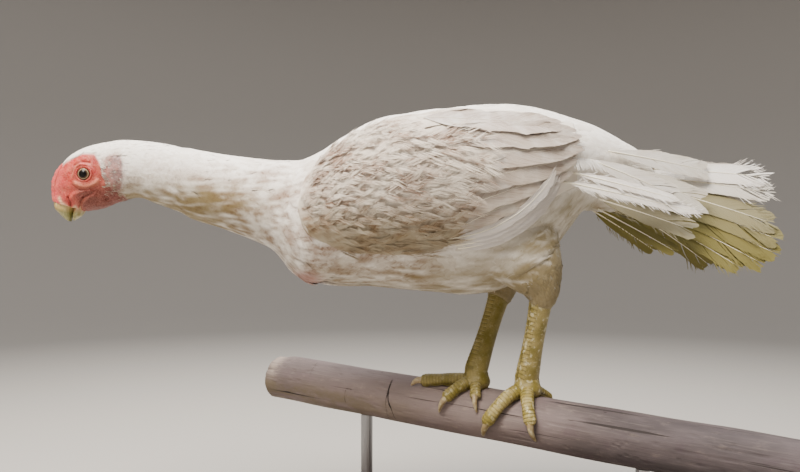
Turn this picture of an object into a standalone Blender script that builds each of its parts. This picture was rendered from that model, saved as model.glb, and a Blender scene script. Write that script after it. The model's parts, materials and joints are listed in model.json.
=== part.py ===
# A white Aseel hen, life size, leaning forward with its neck stretched out, on a short length of pole
# held by a plain display stand. The head points to -X, the bird's left side faces -Y, and +Z is up.
# The origin is the middle of the stand's underside. Sizes are in metres.

import math

import bmesh
import bpy
import numpy as np
from mathutils import Matrix, Vector
from mathutils.bvhtree import BVHTree

GAP = 0.0003  # kept between pieces that touch
SINK = 0.0020  # how far a piece starts inside the one it grows from, before it is cut clear

# Stand: a flat board and two rods under the pole
BASE_LENGTH = 0.400
BASE_WIDTH = 0.230
BASE_HEIGHT = 0.018
BASE_ROUNDING = 0.003
ROD_RADIUS = 0.0055
ROD_STATIONS = (-0.135, 0.120)  # along the pole, from its reference point

# The pole: its axis passes through POLE_POINT, turned in plan and sloping down to the near right
POLE_RADIUS = 0.0216
POLE_POINT = Vector((0.0428, 0.0, 0.1120))
POLE_TURN = math.radians(30.0)
POLE_SLOPE = math.radians(3.2)
POLE_REACH = (0.242, 0.250)  # to the far left end and the near right end
POLE_SIDES = 22

# Ribs of the bird from the face to the rump. Each is a section through the median plane:
# crown x, z, keel x, z, half width, height of the widest point (0 keel, 1 crown), squareness
HEAD_RIBS = (
    (-0.3385, 0.2953, -0.3112, 0.2871, 0.0090, 0.50, 2.2),
    (-0.3372, 0.3030, -0.3065, 0.2876, 0.0116, 0.50, 2.1),
    (-0.3362, 0.3130, -0.3000, 0.2884, 0.0146, 0.50, 2.1),
    (-0.3315, 0.3242, -0.2930, 0.2902, 0.0172, 0.54, 2.1),
    (-0.3232, 0.3338, -0.2850, 0.2935, 0.0188, 0.56, 2.1),
    (-0.3105, 0.3408, -0.2760, 0.2965, 0.0196, 0.54, 2.1),
    (-0.2950, 0.3452, -0.2680, 0.2980, 0.0202, 0.52, 2.1),
    (-0.2790, 0.3474, -0.2595, 0.2968, 0.0208, 0.50, 2.1),
)
NECK_RIBS = (
    (-0.2610, 0.3468, -0.2495, 0.2925, 0.0216, 0.50, 2.1),
    (-0.2400, 0.3445, -0.2360, 0.2872, 0.0232, 0.50, 2.0),
    (-0.2150, 0.3388, -0.2150, 0.2785, 0.0256, 0.50, 2.0),
    (-0.1900, 0.3348, -0.1920, 0.2710, 0.0288, 0.50, 2.0),
    (-0.1650, 0.3322, -0.1690, 0.2620, 0.0330, 0.50, 2.0),
    (-0.1420, 0.3308, -0.1500, 0.2525, 0.0385, 0.50, 2.0),
)
TORSO_RIBS = (
    (-0.1235, 0.3318, -0.1350, 0.2355, 0.0455, 0.52, 2.0),
    (-0.1060, 0.3400, -0.1170, 0.2222, 0.0535, 0.52, 2.1),
    (-0.0850, 0.3535, -0.0940, 0.2222, 0.0605, 0.52, 2.1),
    (-0.0600, 0.3660, -0.0620, 0.2215, 0.0650, 0.52, 2.1),
    (-0.0250, 0.3722, -0.0250, 0.2178, 0.0665, 0.53, 2.1),
    (0.0150, 0.3768, 0.0200, 0.2155, 0.0645, 0.54, 2.1),
    (0.0500, 0.3782, 0.0520, 0.2230, 0.0590, 0.56, 2.1),
    (0.0800, 0.3740, 0.0780, 0.2430, 0.0500, 0.58, 2.0),
    (0.1040, 0.3662, 0.0970, 0.2680, 0.0400, 0.58, 2.0),
    (0.1240, 0.3590, 0.1120, 0.2860, 0.0310, 0.56, 2.0),
)
TAIL_RIBS = (
    (0.1460, 0.3470, 0.1340, 0.2850, 0.0225, 0.55, 2.0),
    (0.1620, 0.3360, 0.1520, 0.2900, 0.0140, 0.55, 2.0),
    (0.1720, 0.3250, 0.1670, 0.2990, 0.0060, 0.55, 2.0),
)
BIRD_RIBS = HEAD_RIBS + NECK_RIBS + TORSO_RIBS + TAIL_RIBS
HEAD_START = 0
NECK_START = len(HEAD_RIBS)
TORSO_START = NECK_START + len(NECK_RIBS)
TAIL_START = TORSO_START + len(TORSO_RIBS) - 1
TAIL_END = len(BIRD_RIBS) - 1
HEAD_RINGS = 15
HEAD_SIDES = 22
BODY_SIDES = 26

# Bill: crown and cutting edge of the upper half, cutting edge and chin of the lower. Each half
# grows from a share of the face's first rib, counted from its crown
UPPER_BILL_SHARES = (0.01, 0.68)
LOWER_BILL_SHARES = (0.72, 0.99)
BILL_ROOT_WIDTH = 0.95  # share of the face's width there
UPPER_BILL_RIBS = (
    (-0.3376, 0.2902, -0.3215, 0.2868, 0.0078, 0.40, 2.1),
    (-0.3335, 0.2848, -0.3225, 0.2832, 0.0060, 0.40, 2.0),
    (-0.3288, 0.2804, -0.3235, 0.2800, 0.0038, 0.40, 2.0),
    (-0.3246, 0.2776, -0.3233, 0.2776, 0.0014, 0.50, 2.0),
)
LOWER_BILL_RIBS = (
    (-0.3208, 0.2866, -0.3142, 0.2834, 0.0062, 0.60, 2.1),
    (-0.3217, 0.2828, -0.3180, 0.2806, 0.0044, 0.60, 2.0),
    (-0.3222, 0.2797, -0.3208, 0.2788, 0.0018, 0.50, 2.0),
)

# Comb: three low rows of beads along the front of the head
COMB_RIB_SPAN = (0.35, 3.1)  # along the head's ribs
COMB_ROW_ANGLES = (-0.34, 0.0, 0.34)
COMB_ROW_RADII = (0.0024, 0.0030, 0.0024)
COMB_BEADS = 4
COMB_END_SHARE = 0.12  # of a half wave, so that the rows are thinner at their ends
COMB_WAIST = 0.72  # thickness between two beads
COMB_RAISE = 0.35  # share of a row's radius by which its middle stands over the head
COMB_BASE = (0.0064, 0.0016)  # half width and thickness of the flesh that the rows stand on

# Eyes
EYE_X = -0.3058
EYE_Z = 0.3172
EYE_RADIUS = 0.0072
EYE_STAND_OUT = 0.0024  # how far the eyeball stands out of the face
LID_RING = (0.0062, 0.0056)  # half length and half height of the lids' rim
LID_RADIUS = 0.0012
LID_RAISE = 0.35  # share of its radius by which the rim's middle stands over the face
LID_SEGMENTS = 12
LID_SIDES = 5

# Folds and openings of the face, as points x, z of the side view with a radius
FACE_RIDGES = (
    (((-0.3140, 0.3180), (-0.3112, 0.3240), (-0.3052, 0.3258), (-0.2992, 0.3235)), 0.0014),
    (((-0.3125, 0.3085), (-0.3058, 0.3062), (-0.2985, 0.3072), (-0.2940, 0.3100)), 0.0015),
    (((-0.3190, 0.2960), (-0.3140, 0.3010), (-0.3075, 0.3035), (-0.3010, 0.3068)), 0.0012),
)
MOUTH = (
    ((-0.3194, 0.2896), (-0.3148, 0.2907), (-0.3127, 0.2952), (-0.3074, 0.2992), (-0.2998, 0.3033)),
    0.0006,
)
NOSTRIL = (((-0.3233, 0.2988), (-0.3228, 0.2955), (-0.3236, 0.2922)), 0.0009)
EAR_LOBE = ((-0.2830, 0.3135), (0.0050, 0.0022, 0.0042))  # place and half sizes
EAR_PIT = ((-0.2870, 0.3215), 0.0024)

# Wing: outline of the folded wing in side view: x, top z, bottom z, thickness over the body
WING_RIBS = (
    (-0.1240, 0.2930, 0.2850, 0.0040),
    (-0.1170, 0.3170, 0.2680, 0.0085),
    (-0.0980, 0.3370, 0.2585, 0.0120),
    (-0.0750, 0.3510, 0.2535, 0.0135),
    (-0.0500, 0.3600, 0.2515, 0.0140),
    (-0.0200, 0.3655, 0.2550, 0.0130),
    (0.0050, 0.3680, 0.2620, 0.0105),
    (0.0300, 0.3690, 0.2720, 0.0080),
    (0.0520, 0.3675, 0.2800, 0.0065),
    (0.0720, 0.3630, 0.2910, 0.0055),
    (0.0870, 0.3600, 0.3000, 0.0048),
    (0.1000, 0.3580, 0.3060, 0.0042),
)
WING_SINK = 0.0040  # how deep the wing form starts in the body
WING_CLEARANCE = 0.0055  # from the wing to the thigh under it
WING_CORE_END = 7.0  # rib at which the fleshy wing ends, under the flight feathers
WING_CORE_DEPTH = 0.0016  # from the feathers' surface down to the fleshy wing
WING_RIM = 0.90  # share of the half height past which the wing gets no thinner
WING_FULLNESS = 0.3  # how blunt the wing's section is: 0.5 is an ellipse, and less is blunter

# Feathers of the wing, in the side view. Lifts are over the wing's surface, at root and tip,
# and a tilt is how much further out a feather's lower edge is than its upper one
VANE_THICKNESS = 0.0006
VANE_CAMBER = 0.05  # share of its width by which an open feather bellies out
FEATHER_ROOT_WIDTH = 0.55  # share of a feather's full width at its root
FEATHER_SPREAD = 1.1  # how fast it widens from there, over its length
FEATHER_TIP_START = 0.62  # share of its length where the rounded tip starts
FEATHER_TIP_LENGTH = 0.406  # of an ellipse that ends just past the tip
SECONDARIES = (
    ((0.083, 0.3525), -1.0),
    ((0.095, 0.3440), 5.0),
    ((0.095, 0.3320), 11.0),
    ((0.086, 0.3190), 18.0),
    ((0.074, 0.3070), 25.0),
)
SECONDARY_LENGTHS = (0.112, 0.116, 0.114, 0.108, 0.096)
SECONDARY_WIDTH = 0.0240
SECONDARY_LIFTS = (-0.0030, 0.0002)
SECONDARY_TILT = 0.0024
PRIMARY_COUNT = 3
PRIMARY_TIP = (0.0800, 0.3200)
PRIMARY_STEP = (0.0030, 0.0050)  # from each primary to the next one up
PRIMARY_HEADING = (64.0, 56.0)  # at the tip, and how much of it is the feather's curve
PRIMARY_LENGTH = 0.092
PRIMARY_WIDTH = 0.0130
PRIMARY_LIFTS = (-0.0030, -0.0030)
PRIMARY_RISE = 0.0008
PRIMARY_TILT = 0.0008
COVERT_ARC_FRONT = 0.030
COVERT_ARC_HEIGHT = 0.322
COVERT_ARC = (19.0, 11.5)  # curvature of the arc of tips, above and below that height
COVERT_HEADINGS = (-4.0, 17.0)
COVERT_TILT = 0.0016
COVERT_LIFTS = (-0.0026, 0.0010)
# Rows of coverts: count, distance in front of the first row, length, width, tips' lowest and
# highest z, and rows of points along each
COVERT_ROWS = (
    (6, 0.000, 0.042, 0.0225, (0.2760, 0.3520), 4),
    (6, 0.026, 0.032, 0.0220, (0.2690, 0.3480), 3),
    (6, 0.049, 0.028, 0.0210, (0.2670, 0.3420), 3),
    (5, 0.072, 0.028, 0.0210, (0.2690, 0.3340), 3),
    (4, 0.095, 0.026, 0.0210, (0.2760, 0.3220), 3),
)

# Tail: the feathers of each half fan out in one plane, which leans out towards its lower edge.
# Down the plane from the top feather: droop in degrees, length, width
TAIL_LEAN = math.radians(24.0)
TAIL_ROOT = Vector((0.1480, -0.0030, 0.3230))
TAIL_ROOT_STEP = 0.0050  # down the plane from each root to the next one
TAIL_DEPTH_STEP = 0.0011  # how much further in each feather lies than the one above it
TAIL_TILT = 0.0030  # how much further out a feather's lower edge is than its upper one
TAIL_FEATHERS = (
    (4.0, 0.122, 0.0260),
    (8.5, 0.126, 0.0270),
    (19.0, 0.124, 0.0270),
    (22.5, 0.130, 0.0270),
    (26.0, 0.131, 0.0260),
    (30.0, 0.120, 0.0250),
    (34.0, 0.104, 0.0230),
)
TAIL_BEND = math.radians(7.0)
TAIL_COVERT_FLARE = 0.03  # how far the coverts stand away from the tail's side
TAIL_COVERTS = (  # root x, z, y, droop in degrees, length, width, lean in degrees
    (0.1400, 0.3410, -0.0070, 16.0, 0.076, 0.0180, 56.0),
    (0.1380, 0.3300, -0.0150, 16.0, 0.070, 0.0200, 30.0),
    (0.1370, 0.3170, -0.0185, 18.0, 0.064, 0.0200, 12.0),
    (0.1360, 0.3040, -0.0175, 23.0, 0.062, 0.0190, -4.0),
    (0.1340, 0.2930, -0.0110, 31.0, 0.064, 0.0180, -38.0),
)

# Legs, for the left (near) and the right (far) side: hip, hock and foot centres
LEGS = {
    "left": {
        "hip": Vector((0.034, -0.024, 0.288)),
        "hock": Vector((0.0745, -0.033, 0.2255)),
        "foot_station": 0.0232,
        "toes": {
            "middle": (-2.10, 0.050, 0.0062, 0.0048),
            "outer": (-1.20, 0.040, 0.0060, 0.0046),
            "inner": (2.20, 0.038, 0.0058, 0.0046),
            "hind": (1.05, 0.026, 0.0052, 0.0042),
        },
    },
    "right": {
        "hip": Vector((0.020, 0.024, 0.286)),
        "hock": Vector((0.0500, 0.034, 0.2235)),
        "foot_station": -0.0235,
        "toes": {
            "middle": (-2.85, 0.050, 0.0062, 0.0048),
            "outer": (2.30, 0.040, 0.0060, 0.0046),
            "inner": (-2.15, 0.034, 0.0058, 0.0046),
            "hind": (-1.20, 0.024, 0.0052, 0.0042),
        },
    },
}
THIGH_RADII = (  # along the body and across it, from the hip to the hem
    (0.0400, 0.0240),
    (0.0370, 0.0235),
    (0.0260, 0.0175),
    (0.0150, 0.0122),
    (0.0122, 0.0105),
)
THIGH_SIDES = 14
SHANK_SIDES = 9
HEM_DROP = 0.0150  # from the hock to the lower edge of the thigh's feathers
SHANK_RADII = ((0.0096, 0.0080), (0.0084, 0.0066), (0.0086, 0.0066), (0.0100, 0.0080))
ANKLE_LIFT = 0.0150  # height of the shank's lower end over the pole's surface
SCUTE_PITCH = 0.0082
SCUTE_RISE = 0.0007
TOE_SIDES = 7
CLAW_LENGTH = 0.0125
CLAW_LIFT = 0.0006
PAD_RADII = (0.0125, 0.0115, 0.0095)

FEATHER_WHITE = (0.86, 0.83, 0.76)
SKINS = {
    "plumage": (FEATHER_WHITE, 0.85, 0.0),
    "face": ((0.72, 0.25, 0.20), 0.55, 0.0),
    "comb": ((0.78, 0.28, 0.26), 0.55, 0.0),
    "bill": ((0.62, 0.60, 0.38), 0.45, 0.0),
    "eye": ((0.10, 0.07, 0.06), 0.08, 0.0),
    "leg": ((0.74, 0.70, 0.30), 0.50, 0.0),
    "claw": ((0.76, 0.68, 0.52), 0.40, 0.0),
    "pole": ((0.36, 0.30, 0.29), 0.80, 0.0),
    "board": ((0.16, 0.12, 0.10), 0.50, 0.0),
    "rod": ((0.30, 0.30, 0.31), 0.35, 1.0),
}


def spread(start, end, count):
    return [start + (end - start) * i / (count - 1) for i in range(count)]


# Where along the ribs the body's nodes have their rings
BODY_STATIONS = {
    "neck": spread(NECK_START, TORSO_START, 9),
    "torso": spread(TORSO_START, TAIL_START, 13),
    "tail": spread(TAIL_START, TAIL_END, 5),
}


def clear_scene():
    for obj in list(bpy.data.objects):
        bpy.data.objects.remove(obj, do_unlink=True)


def make_collection(name):
    group = bpy.data.collections.new(name)
    bpy.context.scene.collection.children.link(group)
    return group


def make_material(name):
    colour, roughness, metallic = SKINS[name]
    material = bpy.data.materials.new(name)
    material.use_nodes = True
    shader = material.node_tree.nodes["Principled BSDF"]
    shader.inputs["Base Color"].default_value = (*colour, 1.0)
    shader.inputs["Roughness"].default_value = roughness
    shader.inputs["Metallic"].default_value = metallic
    return material


def add_object(name, mesh, group, material=None):
    obj = bpy.data.objects.new(name, mesh)
    group.objects.link(obj)
    if material is not None:
        mesh.materials.clear()
        mesh.materials.append(material)
    return obj


def mesh_from(name, points, faces):
    mesh = bpy.data.meshes.new(name)
    mesh.from_pydata([tuple(p) for p in points], [], faces)
    work = bmesh.new()
    work.from_mesh(mesh)
    bmesh.ops.recalc_face_normals(work, faces=work.faces)
    work.to_mesh(mesh)
    work.free()
    return mesh


def smooth_value(rows, at):
    """A smooth value between the rows of a table, at a position counted in rows."""
    last = len(rows) - 1
    first = min(max(int(math.floor(at)), 0), last - 1)
    t = at - first
    p = [np.array(rows[min(max(first + k, 0), last)], float) for k in (-1, 0, 1, 2)]
    return 0.5 * (
        2 * p[1]
        + (p[2] - p[0]) * t
        + (2 * p[0] - 5 * p[1] + 4 * p[2] - p[3]) * t**2
        + (3 * p[1] - p[0] - 3 * p[2] + p[3]) * t**3
    )


def rib_ring(rib, sides, grow=0.0):
    """Points of one section, from the crown round by the left side."""
    crown_x, crown_z, keel_x, keel_z, half_width, waist_share, squareness = rib
    crown = Vector((crown_x, 0, crown_z))
    keel = Vector((keel_x, 0, keel_z))
    height = (crown - keel).length
    up = (crown - keel) / height
    waist = keel + up * height * waist_share
    power = 2.0 / squareness
    ring = []
    for k in range(sides):
        turn = 2 * math.pi * k / sides
        rise = math.copysign(abs(math.cos(turn)) ** power, math.cos(turn))
        side = -math.copysign(abs(math.sin(turn)) ** power, math.sin(turn))
        reach = height * (1 - waist_share if rise > 0 else waist_share) + grow
        ring.append(waist + up * rise * reach + Vector((0, side * (half_width + grow), 0)))
    return ring


def rib_direction(ribs, at):
    """The way the row of ribs runs, at right angles to the rib."""
    rib = smooth_value(ribs, at)
    up = Vector((rib[0] - rib[2], 0, rib[1] - rib[3])).normalized()
    return Vector((up.z, 0, -up.x))


def loft(name, rings):
    """A closed mesh through rings of the same number of points."""
    sides = len(rings[0])
    points = [p for ring in rings for p in ring]
    faces = []
    for i in range(len(rings) - 1):
        for k in range(sides):
            a = i * sides + k
            b = i * sides + (k + 1) % sides
            faces.append((a, b, b + sides, a + sides))
    faces.append(tuple(reversed(range(sides))))
    faces.append(tuple(range((len(rings) - 1) * sides, len(rings) * sides)))
    return mesh_from(name, points, faces)


def rib_loft(name, ribs, stations, sides, grow=0.0, lead=0.0):
    """A loft through a row of ribs at some positions; lead moves its first ring along the row."""
    rings = []
    for i, at in enumerate(stations):
        ring = rib_ring(smooth_value(ribs, at), sides, grow)
        if i == 0 and lead:
            shift = rib_direction(ribs, at) * lead
            ring = [p + shift for p in ring]
        rings.append(ring)
    return loft(name, rings)


def tube(name, path, radii, sides=8, flat_axis=None):
    """A closed tube through points with a pair of radii at each: across and along flat_axis."""
    rings = []
    for i, point in enumerate(path):
        ahead = path[min(i + 1, len(path) - 1)] - path[max(i - 1, 0)]
        ahead.normalize()
        side = ahead.cross(flat_axis or Vector((0, 0, 1))).normalized()
        other = side.cross(ahead).normalized()
        across, along = radii[i] if isinstance(radii[i], tuple) else (radii[i], radii[i])
        rings.append(
            [
                point
                + side * across * math.cos(2 * math.pi * k / sides)
                + other * along * math.sin(2 * math.pi * k / sides)
                for k in range(sides)
            ]
        )
    return loft(name, rings)


def sleeve_of(path, radii, sides, flat_axis):
    """The same tube grown by the gap all round and at its far end, to cut clear what grows from it."""
    end = path[-1] + (path[-1] - path[-2]).normalized() * GAP
    grown = [(r[0] + GAP, r[1] + GAP) if isinstance(r, tuple) else r + GAP for r in radii]
    return tube("sleeve", path[:-1] + [end], grown, sides, flat_axis)


def settle(obj):
    """Applies an object's modifiers and its place to its mesh."""
    bpy.context.view_layer.update()
    graph = bpy.context.evaluated_depsgraph_get()
    mesh = bpy.data.meshes.new_from_object(obj.evaluated_get(graph))
    mesh.transform(obj.matrix_world)
    obj.modifiers.clear()
    obj.data = mesh
    obj.matrix_world = Matrix.Identity(4)


def keep_largest(mesh):
    """Drops all but the closed surface of the largest volume."""
    work = bmesh.new()
    work.from_mesh(mesh)
    left = set(work.faces)
    shells = []
    while left:
        shell = {left.pop()}
        edge_of_growth = list(shell)
        while edge_of_growth:
            face = edge_of_growth.pop()
            for edge in face.edges:
                for other in edge.link_faces:
                    if other in left:
                        left.discard(other)
                        shell.add(other)
                        edge_of_growth.append(other)
        volume = 0.0
        for face in shell:
            corners = [v.co for v in face.verts]
            for j in range(1, len(corners) - 1):
                volume += corners[0].dot(corners[j].cross(corners[j + 1])) / 6
        shells.append((volume, shell))
    shells.sort(key=lambda pair: -pair[0])
    for _, shell in shells[1:]:
        bmesh.ops.delete(work, geom=list(shell), context="FACES")
    work.to_mesh(mesh)
    work.free()


def combine(obj, others, operation, solver="MANIFOLD"):
    """Joins closed meshes to an object, or cuts them from it, and keeps the one largest body."""
    group = make_collection(obj.name + "_tools")
    for other in others:
        for home in list(other.users_collection):
            home.objects.unlink(other)
        group.objects.link(other)
    if operation == "DIFFERENCE":
        for other in others:
            step = obj.modifiers.new("cut", "BOOLEAN")
            step.operation = operation
            step.object = other
            step.solver = solver
    else:
        step = obj.modifiers.new("join", "BOOLEAN")
        step.operation = operation
        step.operand_type = "COLLECTION"
        step.collection = group
        step.solver = solver
    settle(obj)
    for other in others:
        bpy.data.objects.remove(other, do_unlink=True)
    bpy.data.collections.remove(group)
    keep_largest(obj.data)


def mirrored_mesh(mesh):
    """A copy of a mesh on the bird's other side."""
    other = mesh.copy()
    other.transform(Matrix.Scale(-1, 4, Vector((0, 1, 0))))
    other.flip_normals()
    return other


def mirrored(name, obj, group, material=None):
    return add_object(name, mirrored_mesh(obj.data), group, material)


def pole_axes():
    """The pole's direction, the level direction towards the near side, and its own up."""
    along = Vector(
        (
            math.cos(POLE_TURN) * math.cos(POLE_SLOPE),
            -math.sin(POLE_TURN) * math.cos(POLE_SLOPE),
            -math.sin(POLE_SLOPE),
        )
    )
    near = Vector((-math.sin(POLE_TURN), -math.cos(POLE_TURN), 0.0))
    return along, near, near.cross(along).normalized()


def pole_mesh(name, grow=0.0):
    along, near, up = pole_axes()
    bevel = 0.0025 if not grow else 0.0
    stations = (
        (-POLE_REACH[0] - grow, -bevel),
        (-POLE_REACH[0] + bevel, 0.0),
        (POLE_REACH[1] - bevel, 0.0),
        (POLE_REACH[1] + grow, -bevel),
    )
    if grow:
        stations = (stations[0], stations[3])
    rings = []
    for at, shrink in stations:
        radius = POLE_RADIUS + grow + shrink
        rings.append(
            [
                POLE_POINT
                + along * at
                + near * radius * math.sin(2 * math.pi * k / POLE_SIDES)
                + up * radius * math.cos(2 * math.pi * k / POLE_SIDES)
                for k in range(POLE_SIDES)
            ]
        )
    return loft(name, rings)


def build_stand(group, skins):
    bpy.ops.mesh.primitive_cube_add(size=1, location=(0, 0, BASE_HEIGHT / 2))
    base = bpy.context.object
    base.name = "stand_base"
    base.scale = (BASE_LENGTH, BASE_WIDTH, BASE_HEIGHT)
    for home in list(base.users_collection):
        home.objects.unlink(base)
    group.objects.link(base)
    settle(base)
    bevel = base.modifiers.new("rounded edges", "BEVEL")
    bevel.width = BASE_ROUNDING
    bevel.segments = 2
    settle(base)
    base.data.materials.clear()
    base.data.materials.append(skins["board"])

    pole = add_object("perch", pole_mesh("perch"), group, skins["pole"])
    along = pole_axes()[0]
    for name, station in zip(("stand_rod_far", "stand_rod_near"), ROD_STATIONS):
        top = POLE_POINT + along * station
        foot = BASE_HEIGHT + GAP
        height = top.z - foot
        bpy.ops.mesh.primitive_cylinder_add(
            vertices=16, radius=ROD_RADIUS, depth=height, location=(top.x, top.y, foot + height / 2)
        )
        rod = bpy.context.object
        rod.name = name
        for home in list(rod.users_collection):
            home.objects.unlink(rod)
        group.objects.link(rod)
        settle(rod)
        cutter = add_object("pole_cutter", pole_mesh("pole_cutter", GAP), group)
        combine(rod, [cutter], "DIFFERENCE")
        rod.data.materials.clear()
        rod.data.materials.append(skins["rod"])
    return pole


def head_mesh(grow=0.0):
    return rib_loft("head", BIRD_RIBS, spread(HEAD_START, NECK_START, HEAD_RINGS), HEAD_SIDES, grow)


def on_face(face, spots, lift):
    """Points over the face's left side, from points of the side view."""
    path = []
    for x, z in spots:
        hit, out, _, _ = face.ray_cast(Vector((x, -0.2, z)), Vector((0, 1, 0)))
        path.append(hit + out * lift)
    return path


def face_tube(face, spots, radius, lift, sides):
    """A tube laid along the face, with narrow ends."""
    rows = on_face(face, spots, lift)
    count = 2 * len(rows) - 1
    path = [Vector(smooth_value([tuple(p) for p in rows], i / 2)) for i in range(count)]
    radii = [radius * (0.45 + 0.55 * math.sin(math.pi * i / (count - 1))) for i in range(count)]
    return tube("fold", path, radii, sides, Vector((0, 1, 0)))


def ball(name, centre, sizes, segments, rings):
    """An ellipsoid with its poles along Y."""
    work = bmesh.new()
    bmesh.ops.create_uvsphere(work, u_segments=segments, v_segments=rings, radius=1.0)
    turn = Matrix.Rotation(math.radians(90), 4, "X")
    place = Matrix.Translation(centre) @ Matrix.Diagonal((*sizes, 1.0)) @ turn
    bmesh.ops.transform(work, matrix=place, verts=work.verts)
    mesh = bpy.data.meshes.new(name)
    work.to_mesh(mesh)
    work.free()
    return mesh


def lid_mesh(face):
    """The rim of skin round the left eye."""
    spots = []
    for k in range(LID_SEGMENTS):
        turn = 2 * math.pi * k / LID_SEGMENTS
        spots.append((EYE_X + LID_RING[0] * math.cos(turn), EYE_Z + LID_RING[1] * math.sin(turn)))
    middle = on_face(face, [(EYE_X, EYE_Z)], 0.0)[0]
    points = []
    for point in on_face(face, spots, 0.0):
        outward = (point - middle).normalized()
        for k in range(LID_SIDES):
            turn = 2 * math.pi * k / LID_SIDES
            lean = outward * math.cos(turn) + Vector((0, -1, 0)) * (math.sin(turn) + LID_RAISE)
            points.append(point + lean * LID_RADIUS)
    faces = []
    for i in range(LID_SEGMENTS):
        for k in range(LID_SIDES):
            a = i * LID_SIDES
            b = (i + 1) % LID_SEGMENTS * LID_SIDES
            n = (k + 1) % LID_SIDES
            faces.append((a + k, a + n, b + n, b + k))
    return mesh_from("lid", points, faces)


def bill_root(shares):
    """A half of the bill's first rib, just in front of the face's first rib."""
    crown_x, crown_z, keel_x, keel_z, half_width = HEAD_RIBS[0][:5]
    ahead = -rib_direction(HEAD_RIBS, 0) * GAP
    ends = []
    for share in shares:
        ends.append(crown_x + (keel_x - crown_x) * share + ahead.x)
        ends.append(crown_z + (keel_z - crown_z) * share + ahead.z)
    return (*ends, half_width * BILL_ROOT_WIDTH, 0.5, 2.2)


def build_head(group, skins):
    head = add_object("head", head_mesh(), group)
    face = surface_of(head.data)
    middle = on_face(face, [(EYE_X, EYE_Z)], 0.0)[0]
    eye_centre = middle + Vector((0, EYE_RADIUS - EYE_STAND_OUT, 0))
    folds = [face_tube(face, spots, radius, -0.2 * radius, 6) for spots, radius in FACE_RIDGES]
    lobe = on_face(face, [EAR_LOBE[0]], 0.0)[0]
    folds += [lid_mesh(face), ball("lobe", lobe, EAR_LOBE[1], 10, 6)]
    pit = on_face(face, [EAR_PIT[0]], EAR_PIT[1] * 0.4)[0]
    cuts = [
        ball("socket", eye_centre, [EYE_RADIUS + GAP] * 3, 12, 8),
        ball("pit", pit, [EAR_PIT[1]] * 3, 8, 6),
        face_tube(face, *MOUTH, 0.0, 5),
        face_tube(face, *NOSTRIL, 0.0, 6),
    ]
    for meshes, operation in ((folds, "UNION"), (cuts, "DIFFERENCE")):
        pieces = [add_object("face_piece", mesh, group) for mesh in meshes]
        pieces += [mirrored("face_piece", piece, group) for piece in list(pieces)]
        combine(head, pieces, operation)
    head.data.materials.clear()
    head.data.materials.append(skins["face"])
    eye = add_object("eye_left", ball("eye", eye_centre, [EYE_RADIUS] * 3, 12, 8), group, skins["eye"])
    mirrored("eye_right", eye, group, skins["eye"])

    for name, shares, ribs in (
        ("bill_upper", UPPER_BILL_SHARES, UPPER_BILL_RIBS),
        ("bill_lower", LOWER_BILL_SHARES, LOWER_BILL_RIBS),
    ):
        ribs = (bill_root(shares),) + ribs
        add_object(name, rib_loft(name, ribs, spread(0, len(ribs) - 1, 7), 12), group, skins["bill"])


def build_comb(group, skins):
    """Three rows of beads that follow the front of the head."""
    start, end = COMB_RIB_SPAN
    steps = 2 * COMB_BEADS
    side = Vector((0, 1, 0))
    base_path = []
    base_radii = []
    rows = []
    for angle, radius in zip(COMB_ROW_ANGLES, COMB_ROW_RADII):
        path = []
        radii = []
        for i in range(steps + 1):
            rib = smooth_value(BIRD_RIBS, start + (end - start) * i / steps)
            crown = Vector((rib[0], 0, rib[1]))
            up = (crown - Vector((rib[2], 0, rib[3]))).normalized()
            across = rib[4] * math.sin(angle)
            drop = rib[4] * (1 - math.cos(angle))
            swell = math.sin(math.pi * (COMB_END_SHARE + (1 - 2 * COMB_END_SHARE) * i / steps))
            bead = 1.0 if i % 2 else COMB_WAIST
            path.append(crown + side * across + up * (radius * COMB_RAISE - drop))
            radii.append(radius * swell * bead)
            if angle == 0.0:
                base_path.append(crown)
                base_radii.append(tuple(size * swell for size in COMB_BASE))
        rows.append(add_object("comb_row", tube("comb_row", path, radii, 5, side), group))
    base = tube("comb_base", base_path, base_radii, 12, Vector((0, 0, -1)))
    comb = add_object("comb", base, group)
    combine(comb, rows, "UNION")
    combine(comb, [add_object("head_cutter", head_mesh(GAP), group)], "DIFFERENCE")
    comb.data.materials.clear()
    comb.data.materials.append(skins["comb"])


def build_body(group, skins):
    for name, stations in BODY_STATIONS.items():
        mesh = rib_loft(name, BIRD_RIBS, stations, BODY_SIDES, 0.0, GAP)
        add_object(name, mesh, group, skins["plumage"])


def straight_feather(root, ahead, out, length, width, tilt, across, rows, bend=0.0):
    """A vane in the open: ahead and out are its direction and its outer side; bend lets its tip droop."""
    down = out.cross(ahead).normalized()
    if down.z > 0:
        down = -down
    strip = []
    spot = root
    turn = 0.0
    for share, wide in feather_shape(rows):
        reach = width / 2 * wide
        row = []
        for side in spread(-1.0, 1.0, across):
            belly = VANE_CAMBER * width * (1 - side**2)
            row.append((spot + down * reach * side + out * (tilt * side / 2 + belly), out))
        strip.append(row)
        turn += bend / (rows - 1)
        spot = spot + (ahead * math.cos(turn) + down * math.sin(turn)) * length / (rows - 1)
    return vane("vane", strip, VANE_THICKNESS)


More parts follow.
